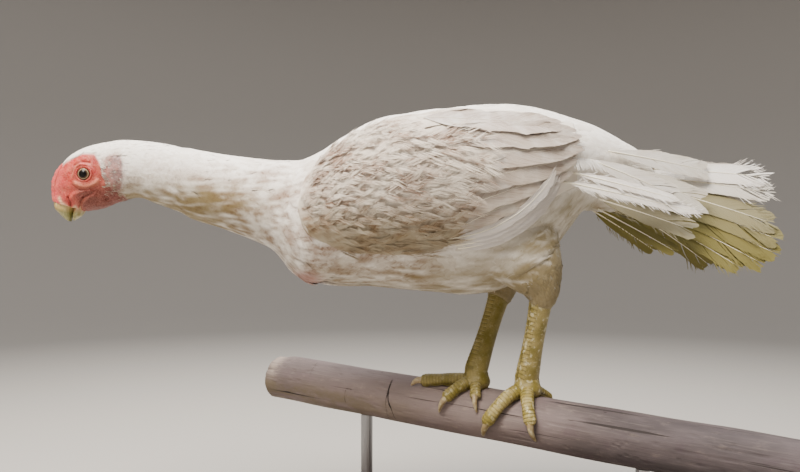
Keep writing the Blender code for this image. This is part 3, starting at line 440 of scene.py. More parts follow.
def makePlumage(name, white, olive="olive and painted shade", barbDepth=0.00012):
    # Matt keratin barbs: soft white, warm where they are stained, darker with painted shade on the underside and
    # in the gaps between barbs, with fine lines along each barb
    material, tree, place = startMaterial(name)
    marks = addNode(tree, "ShaderNodeAttribute", attribute_name="marks").outputs["Vector"]
    bare, tan, shade = addNode(tree, "ShaderNodeSeparateXYZ", {0: marks}).outputs
    vane = addNode(tree, "ShaderNodeAttribute", attribute_name="vane").outputs["Vector"]
    along, aside, _ = addNode(tree, "ShaderNodeSeparateXYZ", {0: vane}).outputs
    tone = addNode(tree, "ShaderNodeAttribute", attribute_name="tone").outputs["Fac"]
    # tan share: real stains of the wing and body, and painted shade low on the body and along the wing's lower
    # edge
    stainAndShade = shareOf(tree, 1.0, [(tan,), (lumps(tree, place, 0.012), 0.25, 0.6)])
    # barbs slant towards the tip on both sides of the shaft
    away = addNode(tree, "ShaderNodeMath", {0: aside}, operation="ABSOLUTE").outputs[0]
    run = addNode(tree, "ShaderNodeMath", {0: away, 1: -0.6, 2: along}, operation="MULTIPLY_ADD").outputs[0]
    perMetre = 2 * math.pi / plumageLook["barb pitch"]
    turns = addNode(tree, "ShaderNodeMath", {0: run, 1: perMetre}, operation="MULTIPLY").outputs[0]
    waves = addNode(tree, "ShaderNodeMath", {0: turns}, operation="SINE").outputs[0]
    spread = addNode(tree, "ShaderNodeCombineXYZ", {0: run, 1: aside, 2: tone}).outputs[0]
    clumps = lumps(tree, spread, plumageLook["clump"], 2.0, stretch=(1, 0.12, 0.02))
    # painted shade in the gaps between barbs and clumps, partly dark streaks, deepest where the plumage is
    # stained
    fine = addNode(tree, "ShaderNodeMath", {0: stainAndShade, 1: 0.45, 2: 0.04}, operation="MULTIPLY_ADD").outputs[0]
    deep = addNode(tree, "ShaderNodeMath", {0: stainAndShade, 1: 0.80, 2: 0.07}, operation="MULTIPLY_ADD").outputs[0]
    colour = layered(
        tree,
        hexColour(plumageLook[white]),
        plumageLook,
        ("shaded white", 1.0, (tone,)),
        ("tan stain", 1.0, (stainAndShade,)),
        (olive, 1.0, (shade,)),
        ("skin pink", 0.8, (bare,)),
        ("barb gap streaks and painted shade", 1.0, (waves, 0.2, -1.0), (fine,)),
        ("barb gap streaks and painted shade", 1.0, (clumps, 0.50, 0.66), (deep,)),
    )
    filled = addNode(tree, "ShaderNodeMath", {0: 1.0, 1: clumps}, operation="SUBTRACT").outputs[0]
    settings = {"Roughness": 0.78, "Specular IOR Level": 0.3, "Sheen Weight": 0.15, "Sheen Roughness": 0.5}
    finishMaterial(tree, colour, settings, (waves, barbDepth, 0.30), (filled, 0.0005, 0.4))
    return material


faceLook = {
    "red": "#ae211c",
    "front pink": "#cf4c50",
    "rear red": "#6a160f",
    "throat": "#4d1405",
    "ear": "#54242c",
    "blotch": "#dd8468",
    "pale fold": "#d98e68",
    "painted crease shade": "#5a1a12",
    "horny rim": "#e3cfa4",
    "jaw": "#611c06",
    "pebble top": "#eda091",
    "pebble": 0.0009,
    "pebble rise": 0.00032,
}


def makeFaceSkin():
    # Bare wattled skin: full of blood, pebbled, a little moist
    material, tree, place = startMaterial("bare wattled skin")
    x, _, z = addNode(tree, "ShaderNodeSeparateXYZ", {0: place}).outputs
    marks = addNode(tree, "ShaderNodeAttribute", attribute_name="marks").outputs["Vector"]
    bare, tan, olive = addNode(tree, "ShaderNodeSeparateXYZ", {0: marks}).outputs
    flesh = addNode(tree, "ShaderNodeAttribute", attribute_name="flesh").outputs["Vector"]
    fold, line, rim = addNode(tree, "ShaderNodeSeparateXYZ", {0: flesh}).outputs
    inputs = {"Vector": place, "Scale": 1.0 / faceLook["pebble"]}
    pebbles = addNode(tree, "ShaderNodeTexVoronoi", inputs, feature="F1").outputs["Distance"]
    flushed = layered(
        tree,
        hexColour(faceLook["red"]),
        faceLook,
        ("front pink", 1.0, (x, -0.318, -0.336)),
        ("rear red", 0.45, (x, -0.308, -0.290)),
        # throat and jaw darken the red towards the bottom of the face, as painted underside shade
        ("throat", 1.0, (z, 0.306, 0.294), (x, -0.318, -0.300)),
        ("ear", 1.0, (x, -0.290, -0.282)),
        ("blotch", 0.35, (lumps(tree, place, 0.006), 0.35, 0.75)),
        ("pale fold", 1.0, (fold,)),
        # painted shade in the grooves of the mouth, the bill's base and above the eye
        ("painted crease shade", 1.0, (line,)),
        ("horny rim", 1.0, (rim,)),
        ("jaw", 0.85, (z, 0.312, 0.301), (x, -0.319, -0.308)),
        ("pebble top", 0.16, (pebbles, 0.75, 0.35)),
    )
    # feathered skin at the face's edge takes the body's olive and tan, partly painted underside shade
    down = hexColour(plumageLook["body"])
    down = layered(tree, down, plumageLook, ("olive and painted shade", 1.0, (olive,)), ("tan stain", 1.0, (tan,)))
    colour = addNode(tree, "ShaderNodeMix", {0: bare, 6: down, 7: flushed}, data_type="RGBA").outputs[2]
    raised = addNode(tree, "ShaderNodeMath", {0: 1.0, 1: pebbles}, operation="SUBTRACT").outputs[0]
    settings = {
        "Roughness": 0.52,
        "Subsurface Weight": 0.12,
        "Subsurface Radius": (0.003, 0.001, 0.0006),
        "Subsurface Scale": 0.5,
    }
    pores = lumps(tree, place, 0.0006)
    finishMaterial(tree, colour, settings, (raised, faceLook["pebble rise"], 0.6), (pores, 0.0001, 0.4))
    return material


legLook = {
    "yellow": "#82752c",
    "cream": "#ab9b60",
    "seam": "#4a4019",
    "pale patches and painted highlight": "#ddd6b4",
    "far leg painted shade": "#685c12",
    "scale pitch": 0.0016,
}


def makeLegScales():
    # Horny leg scales: waxy yellow plates, darker in the seams, with pale patches that are partly painted
    # highlight on the near leg, and painted shade on the far leg
    material, tree, place = startMaterial("horny leg scales")
    relief = addNode(tree, "ShaderNodeAttribute", attribute_name="relief").outputs["Fac"]
    inputs = {"Vector": place, "Scale": 1.0 / legLook["scale pitch"]}
    small = addNode(tree, "ShaderNodeTexVoronoi", inputs, feature="DISTANCE_TO_EDGE").outputs["Distance"]
    y = addNode(tree, "ShaderNodeSeparateXYZ", {0: place}).outputs[1]
    inputs = {0: y, 1: 0.010, 2: -0.010, 3: 0.25, 4: 0.67}  # painted highlight: the pale patches show most on the near leg
    nearLegHighlight = addNode(tree, "ShaderNodeMapRange", inputs, interpolation_type="SMOOTHSTEP").outputs[0]
    colour = layered(
        tree,
        hexColour(legLook["yellow"]),
        legLook,
        ("cream", 1.0, (lumps(tree, place, 0.010), 0.3, 0.7)),
        ("seam", 0.75, (relief, 0.80, 0.20)),
        # pale patches, partly painted highlight, strongest on the near leg
        ("pale patches and painted highlight", 1.0, (lumps(tree, place, 0.0042, 5.0, 0.62), 0.53, 0.68), (nearLegHighlight,)),
        # painted shade on the far leg
        ("far leg painted shade", 0.40, (y, -0.010, 0.010)),
        ("seam", 0.25, (small, 0.10, 0.0)),
    )
    plates = shareOf(tree, 1.0, [(small, 0.0, 0.18)])
    finishMaterial(tree, colour, {"Roughness": 0.46}, (plates, 0.00015, 0.5))
    return material


hornLook = {  # colours at the root and tip, heights between which they change, stretch of the clouds
    "cloud": "#efe6bd",
    "feather shafts": ("#f3ecd9", "#efe8d2", (0.0, 1.0), (1, 1, 1)),
    "upper bill horn": ("#b39a5e", "#7d7a3c", (0.2900, 0.2840), (1, 1, 0.4)),
    "lower bill horn": ("#b98460", "#8f8650", (0.2900, 0.2840), (1, 1, 0.4)),
    "claw horn": ("#83704a", "#a48f6b", (0.10, 0.14), (1, 1, 1)),
}


def makeHorn(name):
    # Keratin horn: smooth and hard, clouded, with fine growth lines
    root, tip, heights, stretch = hornLook[name]
    material, tree, place = startMaterial(name)
    z = addNode(tree, "ShaderNodeSeparateXYZ", {0: place}).outputs[2]
    clouds = lumps(tree, place, 0.004, stretch=stretch)
    look = {"tip": tip, "cloud": hornLook["cloud"]}
    layers = (("tip", 1.0, (z, *heights)), ("cloud", 0.35, (clouds, 0.4, 0.7)))
    colour = layered(tree, hexColour(root), look, *layers)
    lines = lumps(tree, place, 0.0012, stretch=stretch)
    finishMaterial(tree, colour, {"Roughness": 0.38, "Coat Weight": 0.15}, (lines, 0.00012, 0.4))
    return material


eyeLook = {
    "iris": "#6b5840",
    "pearl": "#c2b393",
    "inner ring": "#4d3a29",
    "pupil": "#060303",
    "outer ring": "#4a2c1e",
}


def makeEye(centre):
    # A live eye: dark pupil and pearl iris under a wet clear cornea
    material, tree, place = startMaterial("wet eye")
    inputs = {"Vector": place, "Location": (-centre[0], 0, -centre[2])}
    shifted = addNode(tree, "ShaderNodeMapping", inputs).outputs[0]
    flat = addNode(tree, "ShaderNodeVectorMath", {0: shifted, 1: (1, 0, 1)}, operation="MULTIPLY").outputs[0]
    away = addNode(tree, "ShaderNodeVectorMath", {0: flat}, operation="LENGTH").outputs["Value"]
    colour = layered(
        tree,
        hexColour(eyeLook["iris"]),
        eyeLook,
        ("pearl", 1.0, (lumps(tree, shifted, 0.0008),)),
        ("inner ring", 1.0, (away, 0.0041, 0.0037)),
        ("pupil", 1.0, (away, 0.0032, 0.0029)),
        ("outer ring", 1.0, (away, 0.0043, 0.0046)),
    )
    settings = {"Roughness": 0.50, "Specular IOR Level": 0.10, "Coat Weight": 0.22, "Coat Roughness": 0.03}
    finishMaterial(tree, colour, settings)
    return material


poleLook = {
    "dark": "#463d3d",
    "grey brown": "#6a5e5f",
    "pale": "#887c77",
    "grain line": "#3a3031",
    "purple": "#54434a",
    "scuff": "#a8988c",
    "worn": "#ad9d8e",
    "nearFeetAndPaintedLight": "#b7a49e",
    "shaded end": "#393336",
    "olive tan": "#71654a",
    "crack": "#231b1a",
}


def makeWeatheredWood(along):
    # Weathered round wood: bark gone, grey and silky, with long drying cracks, paler where it is worn; painted
    # light lifts the middle under the bird and painted shade darkens the right end
    material, tree, place = startMaterial("weathered round wood")
    turned = Vector(along).to_track_quat("X", "Z").inverted().to_euler()
    straight = addNode(tree, "ShaderNodeMapping", {"Vector": place, "Rotation": turned}).outputs[0]
    x = addNode(tree, "ShaderNodeSeparateXYZ", {0: place}).outputs[0]
    wear = addNode(tree, "ShaderNodeAttribute", attribute_name="wear").outputs["Fac"]
    lower = addNode(tree, "ShaderNodeAttribute", attribute_name="lower").outputs["Fac"]
    grain = lumps(tree, straight, 0.0016, 6.0, 0.65, (0.05, 1, 1))
    broad = lumps(tree, straight, 0.022, 4.0, 0.55, (0.35, 1, 1))
    purple = lumps(tree, straight, 0.016, 6.0, 0.68, (0.6, 1, 1))
    scuffs = lumps(tree, straight, 0.006, 6.0, 0.72, (0.30, 1, 1))
    damp = lumps(tree, straight, 0.012, 5.0, 0.6, (0.5, 1, 1))
    # the middle zone under the feet: painted light there, and short cracks across
    nearFeetAndPaintedLight = shareOf(tree, 1.0, [(x, -0.22, -0.11), (x, 0.14, 0.02)])
    # long drying cracks, and a few short ones across near the feet
    lengthways = shareOf(tree, 1.0, [(lumps(tree, straight, 0.005, 2.0, 0.5, (0.025, 1, 1)), 0.36, 0.31)])
    level = lumps(tree, straight, 0.050, 3.0, 0.55, (1, 0.16, 0.16))
    level = addNode(tree, "ShaderNodeMath", {0: level, 1: 0.5}, operation="SUBTRACT").outputs[0]
    away = addNode(tree, "ShaderNodeMath", {0: level}, operation="ABSOLUTE").outputs[0]
    spots = [(away, 0.0035, 0.0010), (lumps(tree, place, 0.024), 0.52, 0.58), (nearFeetAndPaintedLight,)]
    across = shareOf(tree, 1.0, spots)
    crack = addNode(tree, "ShaderNodeMath", {0: lengthways, 1: across}, operation="MAXIMUM").outputs[0]
    colour = layered(
        tree,
        hexColour(poleLook["dark"]),
        poleLook,
        ("grey brown", 1.0, (broad, 0.35, 0.65)),
        ("pale", 0.55, (grain, 0.50, 0.75)),
        ("grain line", 0.45, (grain, 0.45, 0.25)),
        ("purple", 0.62, (purple, 0.50, 0.64)),
        ("scuff", 0.34, (scuffs, 0.55, 0.70)),
        ("worn", 1.0, (wear,), (grain, 0.2, 0.6)),
        # painted light in the middle, under the bird's shadow
        ("nearFeetAndPaintedLight", 0.34, (nearFeetAndPaintedLight,)),
        # painted shade towards the right end
        ("shaded end", 0.62, (x, 0.02, 0.16)),
        ("olive tan", 0.70, (lower, 0.35, 0.62), (x, 0.02, -0.10), (damp, 0.30, 0.60)),
        ("crack", 1.0, (crack,)),
    )
    relief = addNode(tree, "ShaderNodeMath", {0: grain, 1: crack}, operation="SUBTRACT").outputs[0]
    finishMaterial(tree, colour, {"Roughness": 0.84}, (relief, 0.0005, 0.7))
    return material


standLook = {"dark wood": "#2c1d17", "light wood": "#4a3226", "steel": "#9a9a9c"}


def makeStainedBoard():
    # Dark stained beech: close grain under a thin satin varnish
    material, tree, place = startMaterial("stained beech")
    grain = lumps(tree, place, 0.004, 5.0, 0.6, (0.05, 1, 1))
    colour = layered(tree, hexColour(standLook["dark wood"]), standLook, ("light wood", 1.0, (grain, 0.35, 0.7)))
    finishMaterial(tree, colour, {"Roughness": 0.42, "Coat Weight": 0.25}, (grain, 0.0002, 0.3))
    return material


def makeBrushedSteel():
    # Brushed stainless rod: grey, with fine rings left by the brush
    material, tree, place = startMaterial("brushed steel")
    rings = lumps(tree, place, 0.0008, 2.0, 0.5, (0.1, 0.1, 1))
    rough = addNode(tree, "ShaderNodeMapRange", {0: rings, 3: 0.28, 4: 0.42}).outputs[0]
    shader = finishMaterial(tree, hexColour(standLook["steel"]), {"Metallic": 1.0})
    tree.links.new(rough, shader.inputs["Roughness"])
    return material


# camera, lights and floor
studio = {
    "camera": (-0.04275, -0.684, 0.2655),
    "lens": 36.0,
    "aim": (-0.03, 0, 0.28),
    "room": ("#e9e9ea", 0.20),
    "floor": {"pale": "#aaa6a0", "grey": "#7f7c79"},  # pale under the bird, greyer on the rise behind it
    "wall": (1.6, 0.7),  # how far from the middle the sweep starts to rise, and its radius
    "key": ((-0.55, -0.65, 1.55), (0.9, 0.7), 68.0, "#fff5e8"),
    "fill": ((-1.10, -1.30, 0.40), (1.2, 1.0), 5.0, "#fbf3ee"),
    "top": ((0.1, 0.30, 1.7), (1.7, 1.2), 51.0, "#ffffff"),
}


def buildStudio():
    data = bpy.data.cameras.new("camera")
    data.lens = studio["lens"]
    data.sensor_width = 36.0
    camera = bpy.data.objects.new("camera", data)
    camera.location = studio["camera"]
    camera.rotation_euler = (math.radians(90), 0, 0)
    bpy.context.scene.collection.objects.link(camera)
    bpy.context.scene.camera = camera
    for name in ("key", "fill", "top"):
        place, size, power, colour = studio[name]
        light = bpy.data.lights.new(name, "AREA")
        light.shape = "RECTANGLE"
        light.size, light.size_y = size
        light.energy = power
        light.color = hexColour(colour)[:3]
        lamp = bpy.data.objects.new(name, light)
        lamp.location = place
        aim = Vector(studio["aim"]) - Vector(place)
        lamp.rotation_euler = aim.to_track_quat("-Z", "Y").to_euler()
        bpy.context.scene.collection.objects.link(lamp)
    world = bpy.data.worlds.new("studio")
    bpy.context.scene.world = world
    world.use_nodes = True
    colour, strength = studio["room"]
    world.node_tree.nodes["Background"].inputs[0].default_value = hexColour(colour)
    world.node_tree.nodes["Background"].inputs[1].default_value = strength
    material, tree, place = startMaterial("plain floor")
    flat = addNode(tree, "ShaderNodeVectorMath", {0: place, 1: (1, 1, 0)}, operation="MULTIPLY").outputs[0]
    away = addNode(tree, "ShaderNodeVectorMath", {0: flat}, operation="LENGTH").outputs["Value"]
    pale = hexColour(studio["floor"]["pale"])
    colour = layered(tree, pale, studio["floor"], ("grey", 1.0, (away, 0.5, 1.9)))
    finishMaterial(tree, colour, {"Roughness": 0.9})
    # a pale sweep: flat floor all round, rising in a dish far outside
    start, radius = studio["wall"]
    turn = np.linspace(0, math.pi / 2, 24)
    reach = np.concatenate(([0.05, 0.5], start + radius * np.sin(turn), [start + radius]))
    height = np.concatenate(([0.0, 0.0], radius * (1 - np.cos(turn)), [2.4]))
    around = np.arange(96) * math.pi / 48
    ring = np.stack((np.cos(around), np.sin(around)), -1)
    sweep = reach[:, None, None] * ring[None], np.repeat(height[:, None, None], len(around), 1)
    grid = np.concatenate(sweep, axis=-1)[:, ::-1]
    turnedOut(addObject("floor", meshFromGrid("floor", grid, capped=False), material))
    middle = bpy.data.meshes.new("floor middle")
    corners = [(x, y, -0.0002) for x, y in ((-0.1, -0.1), (0.1, -0.1), (0.1, 0.1), (-0.1, 0.1))]
    middle.from_pydata(corners, [], [(0, 1, 2, 3)])
    addObject("floor_middle", middle, material)


# Geometry Nodes: one feather or barb on each point of a cloud
def makeCoatTree():
    tree = bpy.data.node_groups.new("feather coat", "GeometryNodeTree")
    for title, kind, way in (
        ("Geometry", "NodeSocketGeometry", "INPUT"),
        ("Feather", "NodeSocketObject", "INPUT"),
        ("Skin", "NodeSocketObject", "INPUT"),
        ("Hug skin", "NodeSocketBool", "INPUT"),
        ("Patch size", "NodeSocketFloat", "INPUT"),
        ("Finish", "NodeSocketMaterial", "INPUT"),
        ("Coat", "NodeSocketGeometry", "OUTPUT"),
    ):
        tree.interface.new_socket(title, in_out=way, socket_type=kind)
    source = addNode(tree, "NodeGroupInput").outputs

    def named(title, kind="FLOAT_VECTOR"):
        node = addNode(tree, "GeometryNodeInputNamedAttribute", {"Name": title}, data_type=kind)
        return node.outputs[0]

    size = named("size")
    turn = addNode(
        tree,
        "FunctionNodeAxesToRotation",
        {0: named("out"), 1: named("ahead")},
        primary_axis="Z",
        secondary_axis="X",
    ).outputs[0]
    feather = addNode(tree, "GeometryNodeObjectInfo", {"Object": source["Feather"]}).outputs["Geometry"]
    placed = addNode(
        tree,
        "GeometryNodeInstanceOnPoints",
        {"Points": source["Geometry"], "Instance": feather, "Rotation": turn, "Scale": size},
    ).outputs[0]
    solid = addNode(tree, "GeometryNodeRealizeInstances", {0: placed}).outputs[0]
    skin = addNode(tree, "GeometryNodeObjectInfo", {"Object": source["Skin"]}).outputs["Geometry"]
    nearest = addNode(tree, "GeometryNodeProximity", {0: skin}, target_element="FACES").outputs["Position"]
    outward = addNode(
        tree,
        "GeometryNodeSampleNearestSurface",
        {"Mesh": skin, "Value": named("outward")},
        data_type="FLOAT_VECTOR",
    ).outputs["Value"]
    inputs = {0: addNode(tree, "ShaderNodeSeparateXYZ", {0: size}).outputs[2], 1: named("height", "FLOAT")}
    bulge = addNode(tree, "ShaderNodeMath", inputs, operation="MULTIPLY").outputs[0]
    lift = addNode(tree, "ShaderNodeMath", {0: bulge, 1: named("lift", "FLOAT")}, operation="ADD").outputs[0]
    raised = addNode(tree, "ShaderNodeVectorMath", {0: outward, "Scale": lift}, operation="SCALE").outputs[0]
    onSkin = addNode(tree, "ShaderNodeVectorMath", {0: nearest, 1: raised}, operation="ADD").outputs[0]
    kept = addNode(
        tree,
        "GeometryNodeStoreNamedAttribute",
        {"Geometry": solid, "Name": "soft", "Value": outward},
        data_type="FLOAT_VECTOR",
    ).outputs[0]
    laid = addNode(
        tree,
        "GeometryNodeSetPosition",
        {"Geometry": kept, "Selection": source["Hug skin"], "Position": onSkin},
    ).outputs[0]
    patch = addNode(
        tree, "ShaderNodeVectorMath", {0: named("patch"), "Scale": source["Patch size"]}, operation="SCALE"
    ).outputs[0]
    inputs = {0: named("rootPlace"), 1: patch}
    spot = addNode(tree, "ShaderNodeVectorMath", inputs, operation="ADD").outputs[0]
    mapped = addNode(
        tree,
        "GeometryNodeStoreNamedAttribute",
        {"Geometry": laid, "Name": "OFBake", "Value": spot},
        data_type="FLOAT2",
        domain="CORNER",
    ).outputs[0]
    finished = addNode(
        tree, "GeometryNodeSetMaterial", {"Geometry": mapped, "Material": source["Finish"]}
    ).outputs[0]
    addNode(tree, "NodeGroupOutput", {0: finished})
    return tree


coatTree = makeCoatTree()


def bladeFeather(name, rows, columns, narrowRoot, fray, seed):
    # A body feather one unit long and wide, as a thin closed blade with a ragged tip
    draw = np.random.default_rng(seed)
    t = np.linspace(0, 1, rows)
    v = np.linspace(-1, 1, columns)
    wide = np.sqrt(np.clip(1 - np.clip(t - 0.55, 0, 1) ** 2 / 0.21, 0.12, 1))
    wide *= np.minimum(1.0, narrowRoot + 1.3 * t)
    along = np.repeat(t[:, None], columns, 1)
    across = v[None, :] * wide[:, None]
    ragged = draw.uniform(-fray, fray, columns)[None, :] * smoothStep(0.55, 1.0, along)
    along = along - 0.05 * smoothStep(0.6, 1.0, along) * v[None, :] ** 2 + ragged
    height = 1 - (1 - np.clip(along, 0, 1)) ** 2 - 0.16 * across**2 - 0.26 * smoothStep(0.62, 1.0, along)
    top = np.stack((along, across * 0.5, np.zeros_like(height)), -1)
    points = []
    faces = []
    heights = []
    places = []
    index = {}
    for layer in (0, 1):
        for i in range(rows):
            for k in range(columns):
                edge = i in (0, rows - 1) or k in (0, columns - 1)
                if layer and edge:
                    index[layer, i, k] = index[0, i, k]
                    continue
                index[layer, i, k] = len(points)
                points.append(tuple(top[i, k]))
                heights.append(height[i, k] - layer * 0.04)
                places.append((along[i, k], across[i, k]))
    for i in range(rows - 1):
        for k in range(columns - 1):
            face = [(i, k), (i + 1, k), (i + 1, k + 1), (i, k + 1)]
            for layer in (0, 1):
                corners = [index[layer, a, b] for a, b in face]
                faces.append(corners[::-1] if layer else corners)
    return finishPrototype(name, points, faces, heights, places)


def finishPrototype(name, points, faces, heights, places):
    mesh = bpy.data.meshes.new(name)
    mesh.from_pydata(points, [], faces)
    mesh.shade_smooth()
    places = np.asarray(places)
    setAttribute(mesh, "height", heights, "FLOAT")
    setAttribute(mesh, "local", np.column_stack((places, np.zeros(len(places)))))
    patch = np.column_stack((places[:, 0] - 0.5, places[:, 1] * 0.5, np.zeros(len(places))))
    setAttribute(mesh, "patch", patch)
    return bpy.data.objects.new(name, mesh)


def barbPrototype(name, steps):
    # One barb as a slim closed ribbon, one unit long and wide
    points = []
    heights = []
    places = []
    faces = []
    for i in range(steps + 1):
        t = i / steps
        wide = 0.5 * (1 - t**3) + 0.02
        for y, z in ((-wide, 0.0), (wide, 0.0), (0.0, -1.0)):
            points.append((t, y, z * (1 - t)))
            heights.append(z)
            places.append((t, y))
    for i in range(steps):
        for k in range(3):
            a = i * 3 + k
            b = i * 3 + (k + 1) % 3
            faces.append((a, a + 3, b + 3, b))
    faces.append((0, 1, 2))
    faces.append((steps * 3 + 2, steps * 3 + 1, steps * 3))
    return finishPrototype(name, points, faces, heights, places)


def softenNormals(mesh, outward, share):
    # feathers lie so close that they shade as one surface: their normals lean to the body's
    corners = np.zeros(len(mesh.loops), np.int32)
    mesh.loops.foreach_get("vertex_index", corners)
    totals = np.zeros(len(mesh.polygons), np.int32)
    mesh.polygons.foreach_get("loop_total", totals)
    flat = np.zeros(len(mesh.polygons) * 3, np.float32)
    mesh.polygons.foreach_get("normal", flat)
    flat = np.repeat(flat.reshape(-1, 3), totals, axis=0)
    out = outward[corners]
    lean = (flat * out).sum(axis=1)
    facing = lean > 0
    shares = share * smoothStep(0.15, 0.60, np.abs(lean))[:, None]
    normals = np.zeros((len(corners), 3))
    for side, sign in ((facing, 1.0), (~facing, -1.0)):
        own = np.zeros((len(mesh.vertices), 3))
        np.add.at(own, corners[side], flat[side])
        smooth = sign * shares[side] * out[side] + (1 - shares[side]) * unit(own[corners[side]])
        normals[side] = unit(smooth)
    mesh.normals_split_custom_set(normals.tolist())


def vectorsOf(mesh, name):
    values = np.zeros(len(mesh.vertices) * 3, np.float32)
    mesh.attributes[name].data.foreach_get("vector", values)
    return values.reshape(-1, 3)


def growCoat(name, cloud, feather, skin, hug, material, nodes=(), marksOf=None, soft=0.7):
    # cloud: place, ahead, out, size, lift, tone, marks and rootPlace, one row for each feather
    count = len(cloud["place"])
    mesh = bpy.data.meshes.new(name)
    mesh.from_pydata(cloud["place"].tolist(), [], [])
    for key in ("ahead", "out", "size", "marks", "rootPlace"):
        setAttribute(mesh, key, cloud[key])
    for key in ("lift", "tone"):
        setAttribute(mesh, key, cloud[key], "FLOAT")
    piece = addObject(name, mesh)
    modifier = piece.modifiers.new("coat", "NODES")
    modifier.node_group = coatTree
    values = {"Feather": feather, "Skin": skin, "Hug skin": hug, "Patch size": 0.003, "Finish": material}
    for item in coatTree.interface.items_tree:
        if item.in_out == "INPUT" and item.name in values:
            modifier[item.identifier] = values[item.name]
    applied(piece)
    if not piece.data.materials:
        piece.data.materials.append(material)
    softenNormals(piece.data, vectorsOf(piece.data, "soft" if hug else "out"), soft)
    shapeVane(piece.data, count)
    if marksOf is not None:
        setAttribute(piece.data, "marks", marksOf(meshPoints(piece.data)))
    finishPiece(piece, nodes)
    print(f"{name}: {count} feathers, {sum(len(p.vertices) - 2 for p in piece.data.polygons)} triangles")


def shapeVane(mesh, count):
    # place on the feather in metres, for the barb lines of the finish
    setAttribute(mesh, "vane", vectorsOf(mesh, "local") * vectorsOf(mesh, "size"))
    for key in ("local", "size", "ahead", "out", "height", "lift", "patch", "rootPlace", "soft"):
        found = mesh.attributes.get(key)
        if found is not None:
            mesh.attributes.remove(found)


def bodyRows(start, end, pitch, gap, seed, jitter=0.35):
    # rows of feather roots round the body: positions along the ribs, and turns
    draw = np.random.default_rng(seed)
    fine = np.linspace(start, end, 400)
    line = bodyPoint(fine, np.full(400, math.pi / 2))
    run = np.concatenate(([0.0], np.cumsum(np.linalg.norm(np.diff(line, axis=0), axis=1))))
    rows = max(2, int(run[-1] / pitch))
    stations = np.interp(np.linspace(0, run[-1], rows), run, fine)
    turns = np.linspace(0, 2 * math.pi, 73)
    allAt = []
    allTurn = []
    for i, at in enumerate(stations):
        ring = bodyPoint(np.full(73, at), turns)
        walk = np.concatenate(([0.0], np.cumsum(np.linalg.norm(np.diff(ring, axis=0), axis=1))))
        count = max(8, int(walk[-1] / gap))
        spots = (np.arange(count) + 0.5 * (i % 2) + draw.uniform(-jitter, jitter, count)) / count * walk[-1]
        allTurn.append(np.interp(spots % walk[-1], walk, turns))
        step = (end - start) / rows
        allAt.append(at + draw.uniform(-jitter, jitter, count) * step)
    return np.clip(np.concatenate(allAt), 0, bodyEnd), np.concatenate(allTurn)


def bodyCloud(at, turn, length, width, rise, seed):
    draw = np.random.default_rng(seed)
    place, ahead, out = bodyFrame(at, turn, coatDepth(at))
    side = np.cross(out, ahead)
    angle = draw.normal(0, 0.10, len(at))[:, None]
    ahead = unit(ahead * np.cos(angle) + side * np.sin(angle))
    vary = draw.uniform(0.85, 1.15, (len(at), 2))
    rises = rise * draw.uniform(0.985, 1.015, len(at))
    size = np.column_stack((length * vary[:, 0], width * vary[:, 1], rises))
    swell = np.array([noise.noise(Vector(spot) / 0.022) for spot in place])
    return {
        "place": place,
        "ahead": ahead,
        "out": out,
        "size": size,
        "lift": 0.22 * rise * swell,
        "tone": 0.6 * draw.uniform(0, 1, len(at)) ** 2,
        "marks": markings(place),
        "rootPlace": np.column_stack((at / bodyEnd, turn / (2 * math.pi), np.zeros(len(at)))),
    }


def mirroredCloud(cloud):
    other = {key: value.copy() for key, value in cloud.items()}
    for key in ("place", "ahead", "out"):
        other[key][:, 1] *= -1
    return other


def keepOnly(cloud, wanted):
    return {key: value[wanted] for key, value in cloud.items()}


# legs, as in the solids: hip, hock, station on the pole, and the toes' heading, length and radii
legs = {
    "left": {
        "hip": (0.034, -0.024, 0.288),
        "hock": (0.0745, -0.033, 0.2255),
        "station": 0.0232,
        "toes": {
            "middle": (-2.10, 0.050, 0.0062, 0.0048),
            "outer": (-1.20, 0.040, 0.0060, 0.0046),
            "inner": (2.20, 0.038, 0.0058, 0.0046),
            "hind": (1.05, 0.026, 0.0052, 0.0042),
        },
    },
    "right": {
        "hip": (0.020, 0.024, 0.286),
        "hock": (0.0500, 0.034, 0.2235),
        "station": -0.0235,
        "toes": {
            "middle": (-2.85, 0.050, 0.0062, 0.0048),
            "outer": (2.30, 0.040, 0.0060, 0.0046),
            "inner": (-2.15, 0.034, 0.0058, 0.0046),
            "hind": (-1.20, 0.024, 0.0052, 0.0042),
        },
    },
}
legSizes = {
    "thigh": ((0.040, 0.024), (0.037, 0.0235), (0.0260, 0.0175), (0.0150, 0.0122), (0.0122, 0.0105)),
    "shank": ((0.0096, 0.0080), (0.0084, 0.0066), (0.0086, 0.0066), (0.0100, 0.0080)),
    "hem drop": 0.0150,
    "ankle lift": 0.0150,
    "claw": 0.0100,
    "scute": 0.0036,  # length of one plate down the shank
    "toe plate": 0.0027,
    "plate rise": 0.00085,
}
pole = {
    "point": (0.0428, 0.0, 0.1120),
    "turn": math.radians(30.0),
    "slope": math.radians(3.2),
    "radius": 0.0216,
    "reach": (0.242, 0.250),
}
poleAlong = Vector(
    (
        math.cos(pole["turn"]) * math.cos(pole["slope"]),
        -math.sin(pole["turn"]) * math.cos(pole["slope"]),
        -math.sin(pole["slope"]),
    )
)
poleNear = Vector((-math.sin(pole["turn"]), -math.cos(pole["turn"]), 0.0))
poleUp = poleNear.cross(poleAlong).normalized()


